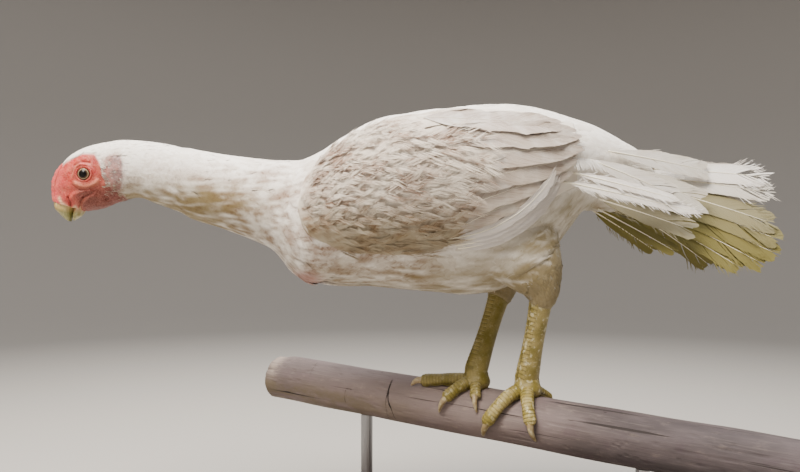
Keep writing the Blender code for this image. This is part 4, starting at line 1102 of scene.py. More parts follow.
def limbGrid(path, radii, outs, sides):
    # rings round a path: radii across and along the way out, first point on the outer side
    path = np.asarray(path, float)
    radii = np.asarray(radii, float)
    ahead = unit(np.gradient(path, axis=0))
    outs = np.asarray(outs, float)
    outs = unit(outs - ahead * (outs * ahead).sum(-1, keepdims=True))
    across = np.cross(ahead, outs)
    turn = np.arange(sides) * 2 * math.pi / sides
    ways = outs[:, None] * np.cos(turn)[None, :, None] + across[:, None] * np.sin(turn)[None, :, None]
    reach = outs[:, None] * (np.cos(turn)[None, :] * radii[:, 1:2])[..., None]
    reach = reach + across[:, None] * (np.sin(turn)[None, :] * radii[:, 0:1])[..., None]
    return path[:, None] + reach, ways, turn


def legLine(leg):
    # hem of the thigh's feathers, ankle, and the way down
    hock = Vector(leg["hock"])
    ground = Vector(pole["point"]) + poleAlong * leg["station"] + poleUp * pole["radius"]
    ankle = ground + Vector((0, 0, legSizes["ankle lift"]))
    down = (ankle - hock).normalized()
    return hock + down * legSizes["hem drop"], ankle, down


def thighRows(leg):
    hem, _, down = legLine(leg)
    hip, hock = Vector(leg["hip"]), Vector(leg["hock"])
    spots = [hip, hip.lerp(hock, 0.42), hip.lerp(hock, 0.80), hock + down * 0.004, hem]
    return np.array([(*spot, wide, long) for spot, (long, wide) in zip(spots, legSizes["thigh"])])


def thighGrid(leg, inset, rings=40, sides=48):
    # the plumage narrows round the hock, so that the short feathers there stay inside the hem
    rows = smoothRows(thighRows(leg), np.linspace(0, 3.8, rings))
    narrow = 0.0022 * smoothStep(0.45, 0.95, np.linspace(0, 1, rings))[:, None]
    forward = np.tile((-1.0, 0, 0), (rings, 1))
    return limbGrid(rows[:, :3], rows[:, 3:] - inset - narrow, forward, sides)


def thighMesh(leg, inset):
    return meshFromGrid("thigh", thighGrid(leg, inset)[0])


def fuse(piece, meshes):
    # joins closed meshes to a piece
    tools = [bpy.data.objects.new("tool", mesh) for mesh in meshes]
    for tool in tools:
        bpy.context.scene.collection.objects.link(tool)
        step = piece.modifiers.new("fuse", "BOOLEAN")
        step.operation = "UNION"
        step.object = tool
        step.solver = "MANIFOLD"
    applied(piece)
    for tool in tools:
        bpy.data.objects.remove(tool)
    piece.data.shade_smooth()


def setOutward(mesh):
    normals = np.zeros(len(mesh.vertices) * 3, np.float32)
    mesh.vertex_normals.foreach_get("vector", normals)
    setAttribute(mesh, "outward", normals)


# skin: one surface from the face to the tail, with the thighs
skinLook = {
    "head rings": 190,
    "head sides": 210,
    "body rings": 120,
}
mouthLine = ((-0.3162, 0.2795), (-0.3143, 0.2855), (-0.3127, 0.2905), (-0.3105, 0.2950))
billEdge = ((-0.3300, 0.2975), (-0.3280, 0.2930), (-0.3235, 0.2900), (-0.3195, 0.2880), (-0.3165, 0.2900))
faceRelief = (  # folds of the face in the side view: spots, half width, rise
    (((-0.3150, 0.3165), (-0.3128, 0.3225), (-0.3085, 0.3250), (-0.3035, 0.3245)), 0.0015, 0.0013),
    (((-0.3165, 0.3175), (-0.3140, 0.3245), (-0.3085, 0.3275), (-0.3010, 0.3265)), 0.0008, -0.0010),
    (((-0.3130, 0.3095), (-0.3065, 0.3065), (-0.2995, 0.3078), (-0.2945, 0.3110)), 0.0019, 0.0014),
    (((-0.3160, 0.3080), (-0.3090, 0.3040), (-0.3005, 0.3052), (-0.2935, 0.3085)), 0.0008, -0.0009),
    (((-0.3195, 0.2960), (-0.3150, 0.3005), (-0.3090, 0.3022), (-0.3020, 0.3045)), 0.0017, 0.0013),
    ((*mouthLine, (-0.3079, 0.2977)), 0.0007, -0.0016),
    (((-0.3079, 0.2977), (-0.3053, 0.2990), (-0.3010, 0.3011), (-0.2975, 0.3030)), 0.0007, -0.0012),
    (((-0.3110, 0.2880), (-0.3085, 0.2935), (-0.3040, 0.2968), (-0.2985, 0.2990)), 0.0016, 0.0010),
    (((-0.3214, 0.2985), (-0.3203, 0.2960), (-0.3200, 0.2935), (-0.3208, 0.2905)), 0.0006, -0.0015),
    (((-0.3226, 0.2988), (-0.3220, 0.2955), (-0.3222, 0.2915)), 0.0009, 0.0009),
    (((-0.2920, 0.3230), (-0.2905, 0.3160), (-0.2885, 0.3080)), 0.0016, 0.0007),
    (((-0.3060, 0.2925), (-0.2990, 0.2930), (-0.2915, 0.2960)), 0.0022, 0.0007),
)
faceTints = (  # pale folds, painted shade in the grooves and horny rims: spots, half width, which tint, strength
    (((-0.3130, 0.3095), (-0.3065, 0.3065), (-0.2995, 0.3078), (-0.2950, 0.3105)), 0.0024, 0, 0.55),
    (((-0.3165, 0.2815), (-0.3140, 0.2870), (-0.3110, 0.2925), (-0.3075, 0.2955)), 0.0022, 0, 0.60),
    (((-0.3155, 0.3150), (-0.3150, 0.3200), (-0.3110, 0.3245)), 0.0012, 0, 0.45),
    ((*mouthLine, (-0.3053, 0.2990)), 0.0006, 1, 0.85),
    (((-0.3214, 0.2985), (-0.3203, 0.2960), (-0.3200, 0.2935), (-0.3208, 0.2905)), 0.0006, 1, 0.90),
    (((-0.3165, 0.3175), (-0.3140, 0.3245), (-0.3085, 0.3275), (-0.3010, 0.3265)), 0.0009, 1, 0.35),
    (billEdge, 0.0014, 2, 0.75),
)
eyeSpot = {"x": -0.3058, "z": 0.3172, "radius": 0.0072, "stand out": 0.0024, "opening": 0.0058}


def reliefOfFace(points):
    # how far the bare skin stands out of the plain form
    rise = np.zeros(len(points))
    for line, wide, height in faceRelief:
        rise += height * np.exp(-((lineDistance(points, line) / wide) ** 2))
    away = np.hypot((points[:, 0] - eyeSpot["x"]) / 1.05, points[:, 2] - eyeSpot["z"])
    rise -= 0.0052 * smoothStep(eyeSpot["opening"] + 0.0006, eyeSpot["opening"] - 0.0012, away)
    rise += 0.0007 * np.exp(-(((away - 0.0075) / 0.0012) ** 2))
    return rise


def tintsOfFace(points):
    # pale fold, painted groove shade and horny rim, each 0 to 1
    tints = np.zeros((len(points), 3))
    for line, wide, which, strength in faceTints:
        tints[:, which] += strength * np.exp(-((lineDistance(points, line) / wide) ** 2))
    return np.clip(tints, 0, 1) * (points[:, 0] < faceBack)[:, None]


def buildSkin(material):
    headAt = np.linspace(0.0, 8.0, skinLook["head rings"], endpoint=False)
    bodyAt = np.linspace(8.0, bodyEnd, skinLook["body rings"])
    at = np.concatenate((headAt, bodyAt))
    sides = skinLook["head sides"]
    turn = np.arange(sides) * 2 * math.pi / sides
    atGrid, turnGrid = np.meshgrid(at, turn, indexing="ij")
    place, _, out = bodyFrame(atGrid, turnGrid, coatDepth(atGrid))
    flat = place.reshape(-1, 3)
    outs = out.reshape(-1, 3)
    bare = markings(flat)[:, 0]
    rise = np.zeros(len(flat))
    face = (flat[:, 0] < faceBack) & (np.abs(flat[:, 1]) > 0.004)
    rise[face] = reliefOfFace(flat[face])
    pebbled = np.where((bare > 0.05) & (flat[:, 0] < -0.26))[0]
    for i in pebbled:
        spot = Vector(flat[i]) / 0.0015
        near = noise.voronoi(spot)[0][0]
        rise[i] += bare[i] * (0.00042 * (0.6 - near) + 0.0008 * noise.noise(Vector(flat[i]) / 0.006))
    flat = flat + outs * rise[:, None]
    skin = addObject("skin", meshFromGrid("skin", flat.reshape(place.shape)), material)
    fuse(skin, [thighMesh(leg, 0.003) for leg in legs.values()])
    setAttribute(skin.data, "marks", markings(meshPoints(skin.data)))
    setAttribute(skin.data, "flesh", tintsOfFace(meshPoints(skin.data)))
    setOutward(skin.data)
    return skin


def marksOfBody(points):
    # the marks of the skin below, with faint streaks along the plumage
    marks = markings(points)
    streaks = np.array([noise.noise(Vector((x / 0.016, y / 0.0035, z / 0.0035))) for x, y, z in points])
    clouds = np.array([noise.noise(Vector((x / 0.040, y / 0.018, z / 0.018))) for x, y, z in points])
    tan = marks[:, 1] * (1.6 + 3.0 * streaks + 1.6 * clouds) + 0.12 * np.clip(streaks, 0, 1)
    marks[:, 1] = np.clip(tan, 0, 0.8)
    marks[:, 2] = np.clip(marks[:, 2] * (1.0 + 0.7 * streaks + 0.5 * clouds), 0, 0.9)
    return marks


# coat of the body
plumage = makePlumage("white contour feathers", "body")
wingPlumage = makePlumage("stained wing coverts", "wing", barbDepth=0.00018)
flightPlumage = makePlumage("flight feathers", "flight")
tailPlumage = makePlumage("tail feathers", "tail", "tail olive and painted shade")
faceSkin = makeFaceSkin()
legScales = makeLegScales()
buildStudio()
skin = buildSkin(faceSkin)
print("skin:", len(skin.data.polygons), "faces")
finishPiece(skin, ("head", "neck", "torso"))

smallBlade = bladeFeather("small blade", 6, 5, 0.45, 0.05, 3)
tinyBlade = bladeFeather("tiny blade", 4, 3, 0.5, 0.04, 4)
bodyGroups = (  # name, ribs, row pitch, gap, length, width, rise, seed
    ("coat_crown", (1.4, 6.6), 0.0014, 0.0015, 0.0052, 0.0023, 0.0006, 10),
    ("coat_neck_front", (6.3, 9.5), 0.0022, 0.0022, 0.0096, 0.0032, 0.0011, 11),
    ("coat_neck", (9.3, 13.6), 0.0036, 0.0038, 0.0180, 0.0060, 0.0026, 12),
    ("coat_breast", (13.4, 16.6), 0.0046, 0.0058, 0.0240, 0.0100, 0.0038, 13),
    ("coat_body", (16.4, 20.5), 0.0050, 0.0064, 0.0270, 0.0115, 0.0042, 14),
    ("coat_rump", (20.3, 24.4), 0.0046, 0.0056, 0.0290, 0.0095, 0.0040, 15),
)
for name, (start, end), pitch, gap, length, width, rise, seed in bodyGroups:
    at, turn = bodyRows(start, end, pitch, gap, seed)
    cloud = bodyCloud(at, turn, length, width, rise, seed)
    chance = np.random.default_rng(seed).uniform(0.25, 0.75, len(at))
    cloud = keepOnly(cloud, cloud["marks"][:, 0] < chance)
    blade = tinyBlade if length < 0.012 else smallBlade
    soft = 0.7 if length < 0.020 else 0.5
    growCoat(name, cloud, blade, skin, True, plumage, marksOf=marksOfBody, soft=soft)


# bristles of the ear and the edge of the bare skin
def faceBristles(seed=23):
    # short pale bristles: a tuft at the ear, sparse ones over the flushed patch and along the edge
    draw = np.random.default_rng(seed)
    rows = {key: [] for key in ("place", "ahead", "out", "size", "lift", "tone", "marks", "rootPlace")}
    groups = (  # middle x z, spread x z, count, length, lean out, olive; the olive of the lower groups is partly painted shade
        ((-0.2905, 0.3270), (0.0022, 0.0022), 520, 0.0062, 0.24, 0.0),
        ((-0.2880, 0.3190), (0.0034, 0.0050), 420, 0.0056, 0.16, 0.35),
        ((-0.2745, 0.3190), (0.0030, 0.0070), 700, 0.0046, 0.26, 0.1),
        ((-0.2850, 0.3070), (0.0045, 0.0040), 420, 0.0060, 0.12, 0.75),
        ((-0.2770, 0.2995), (0.0050, 0.0045), 700, 0.0070, 0.10, 0.9),
    )
    for (x, z), (wide, high), count, length, lean, olive in groups:
        for _ in range(count):
            aside, up = np.clip(draw.normal(0, 1, 2), -1.7, 1.7)
            hit, out = fromSide(headTree, x + wide * aside, z + high * up)
            if hit is None:
                continue
            way = Vector((1.0, -lean - 0.1 * draw.uniform(), -0.30 + 0.12 * draw.normal())).normalized()
            rows["place"].append(hit - out * 0.0004)
            rows["ahead"].append(way)
            rows["out"].append(out)
            rows["size"].append((length * draw.uniform(0.5, 1.1), 0.00022, 0.00020))
            rows["lift"].append(0.0)
            rows["tone"].append(draw.uniform(0, 0.5))
            rows["marks"].append((0, 0.1 + 0.6 * olive * draw.uniform(), olive * draw.uniform(0.4, 1.0)))
            rows["rootPlace"].append((np.clip((hit.x + 0.345) / 0.11, 0, 1), 0.25 + 0.2 * draw.uniform(), 0))
    return {key: np.array(value, float) for key, value in rows.items()}


headTree = treeOf(skin.data)
barb = barbPrototype("barb", 5)
bristles = faceBristles()
for side in ("left", "right"):
    cloud = bristles if side == "left" else mirroredCloud(bristles)
    growCoat("bristles_" + side, cloud, barb, skin, False, plumage)

# coat of the thighs
bodyTree = treeOf(meshFromGrid("guide", bodyPoint(*np.meshgrid(
    np.linspace(neckStart + 3, bodyEnd, 120), np.arange(96) * math.pi / 48, indexing="ij"
))))


def outsideBody(places, clear):
    found = []
    for place in places:
        near, out, _, _ = bodyTree.find_nearest(Vector(place))
        found.append((Vector(place) - near).dot(out) > clear)
    return np.array(found)


def thighCloud(leg, seed):
    draw = np.random.default_rng(seed)
    grid, ways, turn = thighGrid(leg, 0.003, 34, 40)
    rings, sides = grid.shape[:2]
    ahead = unit(np.gradient(grid, axis=0))
    place = grid.reshape(-1, 3)
    count = len(place)
    share = np.repeat(np.linspace(0, 1, rings), sides)
    side = np.cross(ways.reshape(-1, 3), ahead.reshape(-1, 3))
    angle = draw.normal(0, 0.16, count)[:, None]
    aheads = unit(ahead.reshape(-1, 3) * np.cos(angle) + side * np.sin(angle))
    length = (0.020 - 0.008 * share) * draw.uniform(0.8, 1.15, count)
    cloud = {
        "place": place,
        "ahead": aheads,
        "out": unit(ways.reshape(-1, 3)),
        "size": np.column_stack((length, 0.0085 - 0.0035 * share, 0.0032 * draw.uniform(0.95, 1.05, count))),
        "lift": np.zeros(count),
        "tone": 0.6 * draw.uniform(0, 1, count) ** 2,
        "marks": markings(place),
        "rootPlace": np.column_stack((share, np.tile(turn / (2 * math.pi), rings), np.zeros(count))),
    }
    return keepOnly(cloud, outsideBody(place, -0.004) & (share < 0.90))


def hockCloud(leg, seed):
    # short curled feathers that end raggedly round the hock
    draw = np.random.default_rng(seed)
    grid, ways, turn = thighGrid(leg, 0.0026, 74, 60)
    rings, sides = grid.shape[:2]
    aheads = unit(np.gradient(grid, axis=0))
    share = np.linspace(0, 1, rings)
    picked = [(i, k) for i in range(rings) if share[i] > 0.45 for k in range(sides)]
    i, k = np.array(picked).T
    count = len(i)
    ahead, out = aheads[i, k], unit(ways[i, k])
    side = np.cross(out, ahead)
    angle = draw.normal(0, 0.55, count)[:, None]
    way = unit(ahead * np.cos(angle) + side * np.sin(angle))
    length, width = draw.uniform(0.0060, 0.0105, count), draw.uniform(0.0013, 0.0022, count)
    return {
        "place": grid[i, k],
        "ahead": way,
        "out": out,
        "size": np.column_stack((length, width, np.full(count, 0.0025))),
        "lift": draw.uniform(0.0004, 0.0018, count) * smoothStep(0.45, 0.60, share[i]),
        "tone": draw.uniform(0, 1, count),
        "marks": markings(grid[i, k]),
        "rootPlace": np.column_stack((share[i], turn[k] / (2 * math.pi), np.zeros(count))),
    }


for seed, (side, leg) in enumerate(legs.items()):
    coat = hockCloud(leg, 60 + seed)
    growCoat("coat_hock_" + side, coat, tinyBlade, skin, True, plumage, (), markings, 0.6)
    coat = thighCloud(leg, 30 + seed)
    growCoat("coat_thigh_" + side, coat, smallBlade, skin, True, plumage, ("thigh_" + side,), marksOfBody)

# wings
wingLook = {
    "sink": 0.0040,
    "core depth": 0.0026,
    "rim": 0.90,
    "arc front": 0.030,
    "arc height": 0.322,
    "arc": (19.0, 11.5),
    "headings": (-4.0, 17.0),
}
secondaries = (  # tip x, z, heading, length
    (0.083, 0.3525, -1.0, 0.112),
    (0.095, 0.3440, 5.0, 0.116),
    (0.095, 0.3320, 11.0, 0.114),
    (0.086, 0.3190, 18.0, 0.108),
    (0.074, 0.3070, 25.0, 0.096),
)

secondaryWidths = (0.032, 0.032, 0.032, 0.030, 0.026, 0.022)


def wingHeight(x, z):
    # how far the folded wing stands out of the body at a spot of the side view
    table = np.array(wingRibs)
    last = len(table) - 1
    rib = int(np.clip(np.searchsorted(table[:, 0], x) - 1, 0, last - 1))
    share = np.clip((x - table[rib, 0]) / (table[rib + 1, 0] - table[rib, 0]), 0, 1)
    _, top, low, thickness = smoothRows(table, np.array(rib + share))
    offset = min(abs(z - (top + low) / 2) / ((top - low) / 2), wingLook["rim"])
    return thickness * (1 - offset**2) ** 0.3


def wingPoint(x, z, lift):
    hit, out = fromSide(bodyTree, x, z)
    if hit is None:
        hit, out, _, _ = bodyTree.find_nearest(Vector((x, -0.01, z)))
    return hit + out * (wingHeight(x, z) + lift), out


def wingForm(depth, rings=70, arc=25):
    table = np.array(wingRibs)
    stations = np.linspace(0, len(table) - 1, rings)
    grid = []
    for x, top, low, thickness in smoothRows(table, stations):
        outer = []
        inner = []
        for k in range(arc):
            turn = math.pi * k / (arc - 1)
            z = (top + low) / 2 + (top - low) / 2 * math.cos(turn)
            hit, _ = fromSide(bodyTree, x, z)
            under = hit.y if hit is not None else -0.01
            outer.append((x, under - max(thickness * math.sin(turn) ** 0.6 - depth, 0.0), z))
            inner.append((x, under + wingLook["sink"], z))
        grid.append(outer + inner[::-1])
    return meshFromGrid("wing", np.array(grid))


def wingUnwrap(form, rings=70, around=50):
    # the place of each point on the wing's own unwrap: along its ribs, and round each rib
    places = kdtree.KDTree(rings * around)
    points = meshPoints(form)
    for i in range(rings * around):
        places.insert(Vector(points[i]), i)
    places.balance()
    index = np.arange(rings * around)
    shares = np.column_stack((index // around / (rings - 1), index % around / around))
    return places, 0.02 + 0.96 * shares


def wingRows():
    # tips of the small feathers, row by row from the back: spot, heading, length, width
    back = 0.0
    row = 0
    firstHeading, lastHeading = wingLook["headings"]
    while back < 0.150:
        length = 0.030 * (1 - back / 0.155) ** 0.9 + 0.0125
        width = np.clip(0.50 * length, 0.0075, 0.0185)
        for z in np.arange(0.245 + 0.3 * width * (row % 2), 0.375, 0.48 * width):
            curve = wingLook["arc"][0] if z > wingLook["arc height"] else wingLook["arc"][1]
            x = wingLook["arc front"] - back - curve * (z - wingLook["arc height"]) ** 2
            share = np.clip((0.352 - z) / (0.352 - 0.262), -0.2, 1.2)
            heading = firstHeading + share * (lastHeading - firstHeading)
            yield x, z, math.radians(heading), length, width
        back += 0.22 * length
        row += 1


def marksOfWing(points):
    # tan in soft patches, drawn out along the feathers, a whiter place in the middle, and painted shade as tan
    # and olive along the lower edge
    marks = np.zeros((len(points), 3))
    for i, (x, y, z) in enumerate(points):
        along = x + 0.25 * z
        across = z - 0.15 * x
        broad = noise.noise(Vector((along / 0.026, 0, z / 0.016)))
        streak = noise.noise(Vector((along / 0.014, 7, across / 0.0030)))
        fine = noise.noise(Vector((along / 0.009, 3, across / 0.0013)))
        clear = math.exp(-(((x + 0.008) / 0.018) ** 2) - (((z - 0.318) / 0.013) ** 2))
        marks[i, 1] = 0.44 + 0.60 * broad + 0.70 * streak + 0.50 * fine - 0.4 * clear
    zone = smoothStep(0.075, 0.040, points[:, 0]) * smoothStep(0.374, 0.345, points[:, 2])
    # painted shade along the wing's lower edge, laid on as extra tan and olive
    low = smoothStep(0.300, 0.262, points[:, 2])
    marks[:, 1] = np.clip(marks[:, 1] + 0.12 * low, 0.05, 0.85) * (0.25 + 0.75 * zone)
    marks[:, 2] = 0.06 + 0.62 * low
    return marks


def wingCoverts(form, seed):
    draw = np.random.default_rng(seed)
    tree = treeOf(form)
    places, unwrap = wingUnwrap(form)
    rows = {key: [] for key in ("place", "ahead", "out", "size", "lift", "tone", "marks", "rootPlace")}
    for x, z, heading, length, width in wingRows():
        heading += draw.normal(0, 0.13)
        x += draw.uniform(-0.12, 0.12) * length
        z += draw.uniform(-0.12, 0.12) * width
        root = (x - math.cos(heading) * length, z - math.sin(heading) * length)
        hit, out = fromSide(tree, *root)
        if hit is None or hit.y > -0.012:
            continue
        ahead = Vector((math.cos(heading), 0, math.sin(heading)))
        ahead = (ahead - out * ahead.dot(out)).normalized()
        rows["place"].append(hit)
        rows["ahead"].append(ahead)
        rows["out"].append(out)
        rows["size"].append((length * draw.uniform(0.9, 1.15), width * draw.uniform(0.9, 1.15), 0.0028))
        rows["lift"].append(draw.uniform(-0.00010, 0.00025))
        rows["tone"].append(0.7 * draw.uniform(0, 1) ** 2)
        rows["marks"].append((0, 0.3, 0.10))
        rows["rootPlace"].append((*unwrap[places.find(hit)[1]], 0))
    return {key: np.array(value, float) for key, value in rows.items()}


def vaneSheet(
    spots, aheads, outs, halfWidth, pitch, seed, marks, strip, slant, ragged, splits,
    opening=0.09, cutFrom=0.25, rounded=False, columns=6,
):
    # both webs of a feather as thin closed sheets whose rows are barbs, with clefts from cutFrom on
    draw = np.random.default_rng(seed)
    spots, aheads, outs = (np.asarray(a, float) for a in (spots, aheads, outs))
    run = np.concatenate(([0], np.cumsum(np.linalg.norm(np.diff(spots, axis=0), axis=1))))
    count = int(run[-1] * 0.95 / pitch)
    walk = np.linspace(run[-1] * 0.04, run[-1] * 0.995, count)
    share = walk / run[-1]

    def along(values):
        return np.column_stack([np.interp(walk, run, values[:, k]) for k in range(3)])

    place, ahead, out = along(spots), unit(along(aheads)), unit(along(outs))
    across = np.cross(out, ahead)
    sheets = []
    for sign in (-1, 1):
        wave = np.interp(walk, np.linspace(0, run[-1], 16), draw.normal(0, 1, 16))
        wide = halfWidth(share, sign)
        if rounded:
            # shorten the last barbs so that their tips stay inside the feather's own outline
            low, high = np.zeros(count), np.full(count, wide.max())
            for _ in range(24):
                middle = (low + high) / 2
                inside = halfWidth(np.clip(share + middle / math.tan(slant) / run[-1], 0, 1), sign) > middle
                low, high = np.where(inside, middle, low), np.where(inside, high, middle)
            wide = np.maximum(low, 0.0012)
        reach = wide * (1 + ragged * wave + draw.normal(0, ragged * 0.5, count))
        cuts = []
        if splits:
            cuts = np.sort(draw.choice(np.arange(int(count * cutFrom), count - 3), splits, replace=False))
        group = np.searchsorted(cuts, np.arange(count), side="right")
        gape = draw.uniform(-opening, opening, splits + 1)
        angle = slant * (1 - 0.45 * smoothStep(0.7, 1.0, share)) + 0.03 * wave
        angle = angle + gape[group] * smoothStep(0.2, 0.6, share)
        bounds = [0, *cuts, count]
        steps = np.linspace(0, 1, columns) ** 0.8
        for first, last in zip(bounds[:-1], bounds[1:]):
            if last - first < 3:
                continue
            rows = np.arange(first, last)
            bent = angle[rows, None] * (1 - 0.25 * steps[None, :] ** 2)
            way = ahead[rows, None] * np.cos(bent)[..., None]
            way = way + across[rows, None] * (sign * np.sin(bent))[..., None]
            length = (reach[rows] / np.sin(angle[rows]))[:, None] * steps[None, :]
            grid = place[rows, None] + way * length[..., None]
            grid = grid - out[rows, None] * (0.05 * reach[rows, None] * steps[None, :] ** 2)[..., None]
            lateral = np.abs(np.sin(bent) * length)
            alongStrip = np.repeat(0.02 + 0.96 * share[rows, None], columns, 1)
            acrossStrip = strip + sign * 0.022 * np.tile(steps, (len(rows), 1))
            sheets.append(
                {
                    "grid": grid,
                    "out": out[rows],
                    "flip": sign < 0,
                    "vane": np.stack((walk[rows, None] + 0.6 * lateral, lateral, np.zeros_like(lateral)), -1),
                    "uv": np.stack((alongStrip, acrossStrip), -1),
                    "tone": np.clip(0.35 + 0.12 * wave[rows, None] + 0.25 * (steps[None, :] - 0.5), 0, 1),
                    "marks": np.tile(marks, (len(rows), columns, 1)),
                }
            )
    return sheets


def sheetPiece(name, sheets, material, mirror, thickness=0.00024):
    # one mesh from many thin closed sheets
    points, faces, vanes, uvs, tones, marks, outwards = [], [], [], [], [], [], []
    for sheet in sheets:
        grid = sheet["grid"]
        rows, columns = grid.shape[:2]
        inner = np.zeros((rows, columns), bool)
        inner[1:-1, 1:-1] = True
        index = len(points) + np.arange(rows * columns).reshape(rows, columns)
        under = index.copy()
        flat = grid.reshape(-1, 3)
        points += flat.tolist()
        lower = (grid - sheet["out"][:, None] * thickness)[inner]
        under[inner] = len(points) + np.arange(inner.sum())
        points += lower.tolist()
        sheet["outward"] = np.repeat(sheet["out"][:, None], columns, 1)
        stores = (("vane", vanes), ("uv", uvs), ("tone", tones), ("marks", marks), ("outward", outwards))
        for key, store in stores:
            values = np.asarray(sheet[key]).reshape(rows * columns, -1)
            store += values.tolist() + values[inner.reshape(-1)].tolist()
        for layer, table in ((0, index), (1, under)):
            corners = (table[:-1, :-1], table[1:, :-1], table[1:, 1:], table[:-1, 1:])
            quads = np.stack(corners, -1).reshape(-1, 4)
            if bool(layer) != sheet["flip"]:
                quads = quads[:, ::-1]
            faces += quads.tolist()
    points = np.array(points)
    if mirror:
        points[:, 1] *= -1
        faces = [face[::-1] for face in faces]
    mesh = bpy.data.meshes.new(name)
    mesh.from_pydata(points.tolist(), [], faces)
    mesh.shade_smooth()
    setAttribute(mesh, "vane", vanes)
    setAttribute(mesh, "marks", marks)
    setAttribute(mesh, "tone", tones, "FLOAT")
    layer = mesh.uv_layers.new(name="OFBake")
    corners = np.zeros(len(mesh.loops), np.int32)
    mesh.loops.foreach_get("vertex_index", corners)
    layer.uv.foreach_set("vector", np.array(uvs, np.float32)[corners].reshape(-1))
    piece = addObject(name, mesh, material)
    way = np.array((1.0, -1.0, 1.0)) if mirror else np.ones(3)
    softenNormals(mesh, np.array(outwards) * way, 0.75)
    print(f"{name}: {len(sheets)} sheets, {2 * len(faces)} triangles")
    return piece


def barbFringe(spots, aheads, outs, halfWidth, share, count, seed, marks, length, slant=0.55):
    # loose barbs that hang off a feather's edges between two shares of its length
    draw = np.random.default_rng(seed)
    spots, aheads, outs = (np.asarray(a, float) for a in (spots, aheads, outs))
    at = draw.uniform(share[0], share[1], count)
    sign = draw.choice((-1.0, 1.0), count)
    walk = at * (len(spots) - 1)

    def along(values):
        return np.column_stack([np.interp(walk, np.arange(len(spots)), values[:, k]) for k in range(3)])

    ahead, out = unit(along(aheads)), unit(along(outs))
    across = np.cross(out, ahead)
    wide = np.where(sign > 0, halfWidth(at, 1), halfWidth(at, -1)) * 0.72
    place = along(spots) + across * (sign * wide)[:, None] + ahead * (wide * 1.2)[:, None]
    angle = slant + draw.normal(0, 0.16, count)
    way = ahead * np.cos(angle)[:, None] + across * (sign * np.sin(angle))[:, None]
    way = way + out * draw.normal(0, 0.10, count)[:, None]
    lengths = draw.uniform(0.6, 1.3, count) * length
    return {
        "place": place,
        "ahead": unit(way),
        "out": out,
        "size": np.column_stack((lengths, np.full(count, 0.00050), np.full(count, 0.0003))),
        "lift": np.zeros(count),
        "tone": draw.uniform(0, 0.7, count),
        "marks": np.tile(marks, (count, 1)),
        "rootPlace": np.column_stack((0.02 + 0.96 * at, draw.uniform(0.05, 0.95, count), np.zeros(count))),
    }


def mergeClouds(clouds):
    return {key: np.concatenate([cloud[key] for cloud in clouds]) for key in clouds[0]}


def shaftMesh(spots, outs, radius):
    spots = np.asarray(spots, float)
    share = np.linspace(0, 1, len(spots))
    radii = radius * (1 - 0.82 * share)
    grid, _, _ = limbGrid(spots, np.column_stack((radii, radii)), outs, 6)
    return meshFromGrid("shaft", grid)


def roundedVane(width):
    # half width of a feather that narrows to its root and ends in a round tip
    def halfWidth(share, sign):
        wide = np.minimum(1.0, 0.55 + 1.4 * share)
        tip = np.sqrt(np.clip(1 - np.clip(share - 0.72, 0, 1) ** 2 / 0.081, 0.03, 1))
        return width / 2 * wide * tip

    return halfWidth


def blunt(width):
    # half width of a broad feather that keeps its breadth almost to the tip
    return lambda share, sign: 0.5 * width * np.sqrt(np.clip(smoothStep(-0.05, 0.30, share), 0.05, 1)) * (
        1 - 0.84 * smoothStep(0.74, 1.0, share)
    )


def wingFeather(tip, heading, length, width, lifts, tilt, bend=0.0, rows=30):
    # shaft spots, ways ahead and ways out of a feather that lies on the wing
    x, z = tip
    step = length / (rows - 1)
    flat = []
    for _ in range(rows):
        flat.append((x, z))
        heading -= bend / (rows - 1)
        x -= step * math.cos(heading)
        z -= step * math.sin(heading)
    flat.reverse()
    spots = []
    outs = []
    for i, (x, z) in enumerate(flat):
        share = i / (rows - 1)
        spot, out = wingPoint(x, z, lifts[0] + (lifts[1] - lifts[0]) * share)
        spots.append(spot)
        outs.append(out)
    spots = np.array(spots, float)
    outs = np.array(outs, float)
    aheads = unit(np.gradient(spots, axis=0))
    down = unit(np.cross(aheads, outs))
    down = np.where(down[:, 2:3] > 0, -down, down)
    outs = unit(outs + down * (-tilt / width))
    return spots, aheads, outs


def flightFeathers():
    # webs and shafts of the long feathers of the left wing
    sheets = []
    shafts = []
    table = np.array(secondaries)
    count = len(secondaryWidths)
    for i, width in enumerate(secondaryWidths):
        x, z, heading, length = smoothRows(table, np.array(i * (len(table) - 1) / (count - 1)))
        layer = 0.0006 * (count - 1 - i) / count
        spots, aheads, outs = wingFeather(
            (x, z), math.radians(heading), length, width, (-0.0022, 0.0006 + layer), 0.0010
        )
        # olive and painted shade grow down the row of secondaries, towards the wing's lower edge
        marks = (0, 0.34, 0.12 + 0.04 * i)
        half = roundedVane(width)
        web = (half, 0.0011, 50 + i, marks, (i + 0.5) / 14, 0.5, 0.02, 0)
        sheets += vaneSheet(spots, aheads, outs, *web, rounded=True)
        shafts.append(shaftMesh(spots, outs, 0.0003))
    for i in range(4):
        tip = (0.0800 - i * 0.0022, 0.3065 + i * 0.0026)
        spots, aheads, outs = wingFeather(
            tip, math.radians(62), 0.096, 0.011, (-0.0010, 0.0012 + 0.0008 * i), 0.0006, math.radians(58)
        )
        half = roundedVane(0.011)
        marks = (0, 0.04, 0.06)
        web = (half, 0.0011, 70 + i, marks, (9.5 + i) / 14, 0.4, 0.01, 0)
        sheets += vaneSheet(spots, aheads, outs, *web, rounded=True)
        shafts.append(shaftMesh(spots, outs, 0.0006))
    return sheets, shafts


